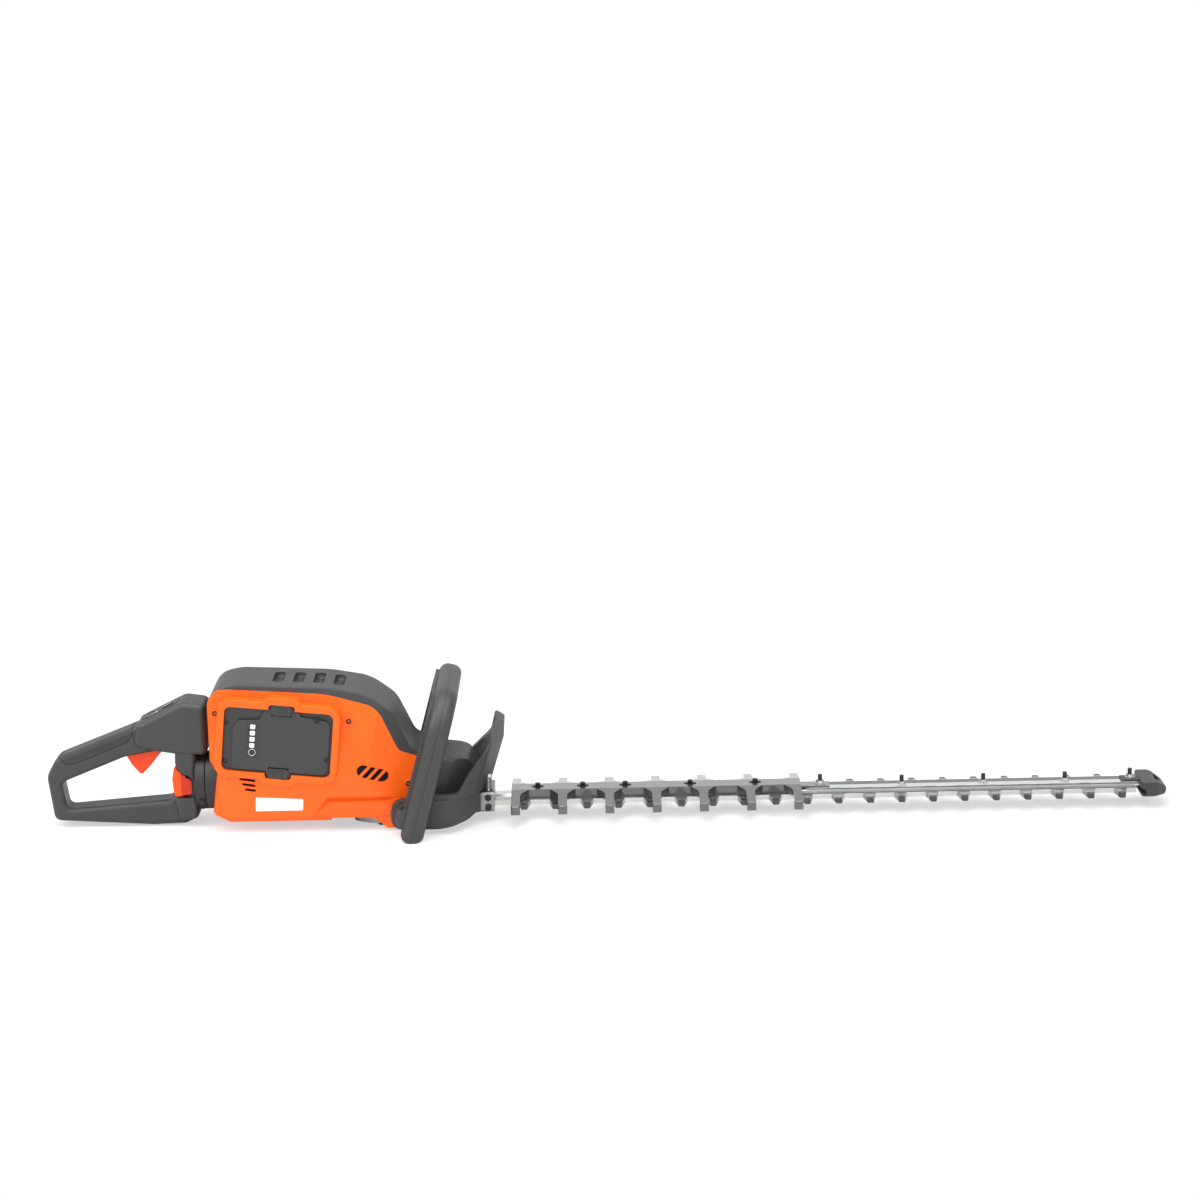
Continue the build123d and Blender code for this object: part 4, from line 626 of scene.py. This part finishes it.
for index in range(scoopSet["count"]):
    x = scoopSet["first"] + scoopSet["step"] * index
    before = fromAbove("top_cover", x - scoopSet["beside"], 0)[0]
    after = fromAbove("top_cover", x + scoopSet["beside"], 0)[0]
    slope = (after - before).normalized()
    normal = Vector((-slope.z, 0, slope.x))
    spot = Matrix.Translation((before + after) / 2 - scoopSet["sunk"] * mm * normal)
    turn = Matrix((slope, Vector((0, 1, 0)), normal)).transposed().to_4x4()
    settle(placeCopy(cupMaster, f"scoopCup{index}", spot @ turn), "batteryNylon", "machine")
bpy.data.objects.remove(cupMaster)

# near-black grids of sunk cells behind the side vents: painted shade for the dark inside of the housing
ventShadeSet = {"behind": 5.0, "thick": 0.8, "cells": 12, "web": 0.35, "deep": 0.5}
ventSet = {"front": {"at": (-277.0, 73.0), "size": (40, 19), "turn": -17.0},
           "rear": {"at": (-424.5, 60.0), "size": (24, 22), "turn": 0.0}}
for name, vent in ventSet.items():
    for side, find, node in housingSides:
        place, normal = find(node, *vent["at"])
        ventShade = startPiece(f"{name}Screen{side}", bpy.ops.mesh.primitive_grid_add, size=1,
                            x_subdivisions=ventShadeSet["cells"], y_subdivisions=ventShadeSet["cells"],
                            stretch=(vent["size"][0] * mm, vent["size"][1] * mm, 1))
        bpy.ops.object.mode_set(mode="EDIT")
        bpy.ops.mesh.select_all(action="SELECT")
        bpy.ops.mesh.inset(thickness=ventShadeSet["web"] * mm, depth=-ventShadeSet["deep"] * mm,
                           use_individual=True)
        bpy.ops.object.mode_set(mode="OBJECT")
        applyModifier(ventShade, "SOLIDIFY", {"thickness": ventShadeSet["thick"] * mm, "offset": -1.0})
        slant = math.radians(vent["turn"] if side == "Right" else -vent["turn"])
        ventShade.data.transform(facing(place, normal, -ventShadeSet["behind"]) @ Matrix.Rotation(slant, 4, "Z"))
        settle(ventShade, "recessShade", "machine")
print("scoops and vents closed")

# rolled thread on each blade stud, over the bare end above its nut; the stud's radius is read below its end
threadSet = {"places": (255, 353, 451, 549, 627), "pitch": 1.0, "turns": 6, "steps": 24, "rise": 0.32,
             "sunk": 0.1, "readBelow": 2, "runOut": 0.6}
for index, x in enumerate(threadSet["places"]):
    top = fromAbove("blade_studs", x, 0)[0].z
    flank = fromRight("blade_studs", x, top / mm - threadSet["readBelow"])[0]
    thread = startPiece(f"studThread{index}", bpy.ops.mesh.primitive_circle_add, vertices=4, radius=1.0,
                        location=(-flank.y - threadSet["sunk"] * mm, 0, 0), rotation=(math.radians(90), 0, 0),
                        stretch=(threadSet["rise"] * mm, threadSet["pitch"] * mm / 2, 1.0))
    windUp(thread, threadSet["pitch"], threadSet["turns"], threadSet["steps"])
    low = top - (threadSet["turns"] + threadSet["runOut"]) * threadSet["pitch"] * mm
    thread.data.transform(Matrix.Translation((x * mm, 0, low)))
    settle(thread, "blackSteel", "machine")

# coil spring on a bolted stem and dark side bolts on the blade clamp at the machine's nose
springSet = {"at": (-142.5, -19.5), "coil": 3.6, "wire": 0.85, "pitch": 3.2, "turns": 5, "steps": 28,
             "stem": 2.0, "stemOver": 1, "boltOver": 1.2}
boltSet = {"along": -143.0, "heights": (19.0, 31.0), "radius": 4.2, "thick": 3.6, "soft": 0.5}
springFoot = fromAbove("blade_clamp", *springSet["at"])[0]
spring = startPiece("noseSpring", bpy.ops.mesh.primitive_circle_add, vertices=10,
                    radius=springSet["wire"] * mm, location=(springSet["coil"] * mm, 0, 0),
                    rotation=(math.radians(90), 0, 0))
windUp(spring, springSet["pitch"], springSet["turns"], springSet["steps"])
spring.data.transform(Matrix.Translation(springFoot + Vector((0, 0, springSet["wire"] * mm))))
settle(spring, "driveSteel", "machine")
boltMaster = startPiece("boltMaster", bpy.ops.mesh.primitive_cylinder_add, vertices=6,
                        radius=boltSet["radius"] * mm, depth=boltSet["thick"] * mm,
                        location=(0, 0, boltSet["thick"] * mm / 2))
pickFaces(boltMaster, facesUp)
bpy.ops.mesh.bevel(offset=boltSet["soft"] * mm, segments=2)
bpy.ops.object.mode_set(mode="OBJECT")
for index, z in enumerate(boltSet["heights"]):
    for side, find, node in clampSides:
        place, normal = find(node, boltSet["along"], z)
        bolt = placeCopy(boltMaster, f"clampBolt{side}{index}", facing(place, normal))
        settle(bolt, "blackSteel", "machine")
springTall = springSet["pitch"] * springSet["turns"] + springSet["boltOver"]
springTop = springFoot + Vector((0, 0, springTall * mm))
springBolt = placeCopy(boltMaster, "springBolt", facing(springTop, (0, 0, 1)))
settle(springBolt, "zincSteel", "machine")
bpy.data.objects.remove(boltMaster)
stem = startPiece("springStem", bpy.ops.mesh.primitive_cylinder_add, vertices=20,
                  radius=springSet["stem"] * mm, depth=(springTall + springSet["stemOver"]) * mm,
                  location=(springFoot + springTop) / 2)
settle(stem, "zincSteel", "machine")

# rail strip along the bar's open length, a shallow roof in section with its ridge on the middle plane
railSet = {"from": 238.0, "to": 642.0, "near": -9.9, "far": 14.5, "base": 29.1, "edge": 0.5, "ridge": 0.4,
           "smoothAngle": 2}
railSize = (railSet["to"] - railSet["from"], railSet["far"] - railSet["near"], railSet["edge"])
railMiddle = ((railSet["from"] + railSet["to"]) / 2, (railSet["far"] + railSet["near"]) / 2,
              railSet["base"] + railSet["edge"] / 2)
rail = startPiece("barRail", bpy.ops.mesh.primitive_cube_add, size=1,
                  stretch=[value * mm for value in railSize],
                  location=[value * mm for value in railMiddle])
bpy.ops.object.mode_set(mode="EDIT")
bpy.ops.mesh.select_all(action="SELECT")
bpy.ops.mesh.bisect(plane_co=(0, 0, 0), plane_no=(0, 1, 0))
bpy.ops.object.mode_set(mode="OBJECT")
pickEdges(rail, lambda first, second: max(abs(first.y), abs(second.y)) < hair
          and min(first.z, second.z) > railMiddle[2] * mm)
bpy.ops.transform.translate(value=(0, 0, railSet["ridge"] * mm))
bpy.ops.object.mode_set(mode="OBJECT")
settle(rail, "railSteel", "machine", railSet["smoothAngle"])

# guard screws: an oval dished seat round each, near black as painted shade in the hollow, and a socket head
# that stands proud of the guard
seatSet = {"places": (-84, -30, 21, 99, 177), "half": (7.4, 4.7), "thick": 0.5,
           "dish": ((0.5, 0.2), (0.9, -0.3)), "readBeside": 1.5}
capSet = {"head": 3.1, "height": 4.0, "dome": (0.4, 0.35), "socket": 1.5, "taper": 0.1, "socketDeep": 2.0}
seatMaster = startPiece("seatMaster", bpy.ops.mesh.primitive_cylinder_add, vertices=44, radius=1.0,
                        depth=seatSet["thick"] * mm,
                        stretch=(seatSet["half"][0] * mm, seatSet["half"][1] * mm, 1.0))
insetFaces(seatMaster, facesUp, seatSet["dish"])
capMaster = socketHead("capMaster", capSet)
for index, x in enumerate(seatSet["places"]):
    top = fromAbove("blade_guard", x, seatSet["half"][1] + seatSet["readBeside"])[0].z
    spot = Matrix.Translation((x * mm, 0, top))
    settle(placeCopy(seatMaster, f"guardSeat{index}", spot), "recessShade", "machine")
    settle(placeCopy(capMaster, f"guardHead{index}", spot), "blackSteel", "machine")
bpy.data.objects.remove(seatMaster)
bpy.data.objects.remove(capMaster)
print("blade fittings placed")

# pale floor: matt paper near the object, plain white further out for the camera
stageSet = {"floorHalf": 6.0, "paper": "#FAFAFA", "plainFrom": 0.75, "plainTo": 1.0, "glow": 0.55,
            "ambient": 0.32}
plainWhite = (1, 1, 1, 1)
bpy.ops.object.select_all(action="DESELECT")
bpy.ops.mesh.primitive_plane_add(size=2 * stageSet["floorHalf"], location=(0, 0, 0))
floor = bpy.context.object
floor.name = "floor"
paper, tree = newMaterial("floorPaper")
where = addNode(tree, "ShaderNodeTexCoord").outputs["Object"]
reach = addNode(tree, "ShaderNodeVectorMath", {"operation": "LENGTH"}, {0: where})
fade = addNode(tree, "ShaderNodeMapRange",
               {"From Min": stageSet["plainFrom"], "From Max": stageSet["plainTo"],
                "To Min": stageSet["glow"]},
               {"Value": reach.outputs["Value"]})
rays = addNode(tree, "ShaderNodeLightPath")
seen = addNode(tree, "ShaderNodeMath", {"operation": "MULTIPLY"},
               {0: fade.outputs[0], 1: rays.outputs["Is Camera Ray"]})
matt = addNode(tree, "ShaderNodeBsdfDiffuse", {"Color": linear(stageSet["paper"])})
white = addNode(tree, "ShaderNodeEmission", {"Color": plainWhite, "Strength": 1.0})
both = addNode(tree, "ShaderNodeMixShader", {}, {0: seen.outputs[0], 1: matt.outputs[0], 2: white.outputs[0]})
addNode(tree, "ShaderNodeOutputMaterial", {}, {"Surface": both.outputs[0]})
floor.data.materials.append(paper)

# even surroundings, seen white by the camera and in reflections and lighting the object less
world = bpy.data.worlds.new("studio")
bpy.context.scene.world = world
world.use_nodes = True
tree = world.node_tree
tree.nodes.clear()
rays = addNode(tree, "ShaderNodeLightPath")
shine = addNode(tree, "ShaderNodeMath", {"operation": "MAXIMUM"},
                {0: rays.outputs["Is Camera Ray"], 1: rays.outputs["Is Glossy Ray"]})
clear = addNode(tree, "ShaderNodeMath", {"operation": "MAXIMUM"},
                {0: shine.outputs[0], 1: rays.outputs["Is Transmission Ray"]})
strength = addNode(tree, "ShaderNodeMapRange", {"To Min": stageSet["ambient"], "To Max": 1.0},
                   {"Value": clear.outputs[0]})
back = addNode(tree, "ShaderNodeBackground", {"Color": plainWhite}, {"Strength": strength.outputs[0]})
addNode(tree, "ShaderNodeOutputWorld", {}, {"Surface": back.outputs[0]})

# square soft boxes: places and sizes in metres, power in watts
lampSet = {
    "overhead": {"place": (-0.1, -0.6, 2.6), "aim": (0, 0, 0), "size": 3.0, "power": 96},
    "front": {"place": (-0.9, -2.6, 1.5), "aim": (0, 0, 0.1), "size": 1.8, "power": 17},
    "left": {"place": (-2.3, -0.7, 1.7), "aim": (-0.2, 0, 0.1), "size": 1.5, "power": 34},
    "right": {"place": (2.2, -1.2, 1.4), "aim": (0.1, 0, 0.1), "size": 1.5, "power": 10},
}
for name, lamp in lampSet.items():
    data = bpy.data.lights.new(name, "AREA")
    data.energy = lamp["power"]
    data.size = lamp["size"]
    light = bpy.data.objects.new(name, data)
    light.location = lamp["place"]
    light.rotation_euler = (Vector(lamp["aim"]) - Vector(lamp["place"])).to_track_quat("-Z", "Y").to_euler()
    bpy.context.scene.collection.objects.link(light)

# camera at the photograph's angle: right side, a little above, with a slight roll
viewSet = {"place": (-0.0048, -3.2542, 1.0564), "down": 13.68, "roll": -1.15, "lens": 85.0, "sensor": 36.0}
cameraData = bpy.data.cameras.new("camera")
cameraData.lens = viewSet["lens"]
cameraData.sensor_width = viewSet["sensor"]
camera = bpy.data.objects.new("camera", cameraData)
tip = Matrix.Rotation(math.radians(90 - viewSet["down"]), 4, "X")
turn = tip @ Matrix.Rotation(math.radians(viewSet["roll"]), 4, "Z")
camera.matrix_world = Matrix.Translation(viewSet["place"]) @ turn
bpy.context.scene.collection.objects.link(camera)
bpy.context.scene.camera = camera
bpy.context.scene.view_settings.view_transform = "Standard"
print("stage, lamps and camera set")
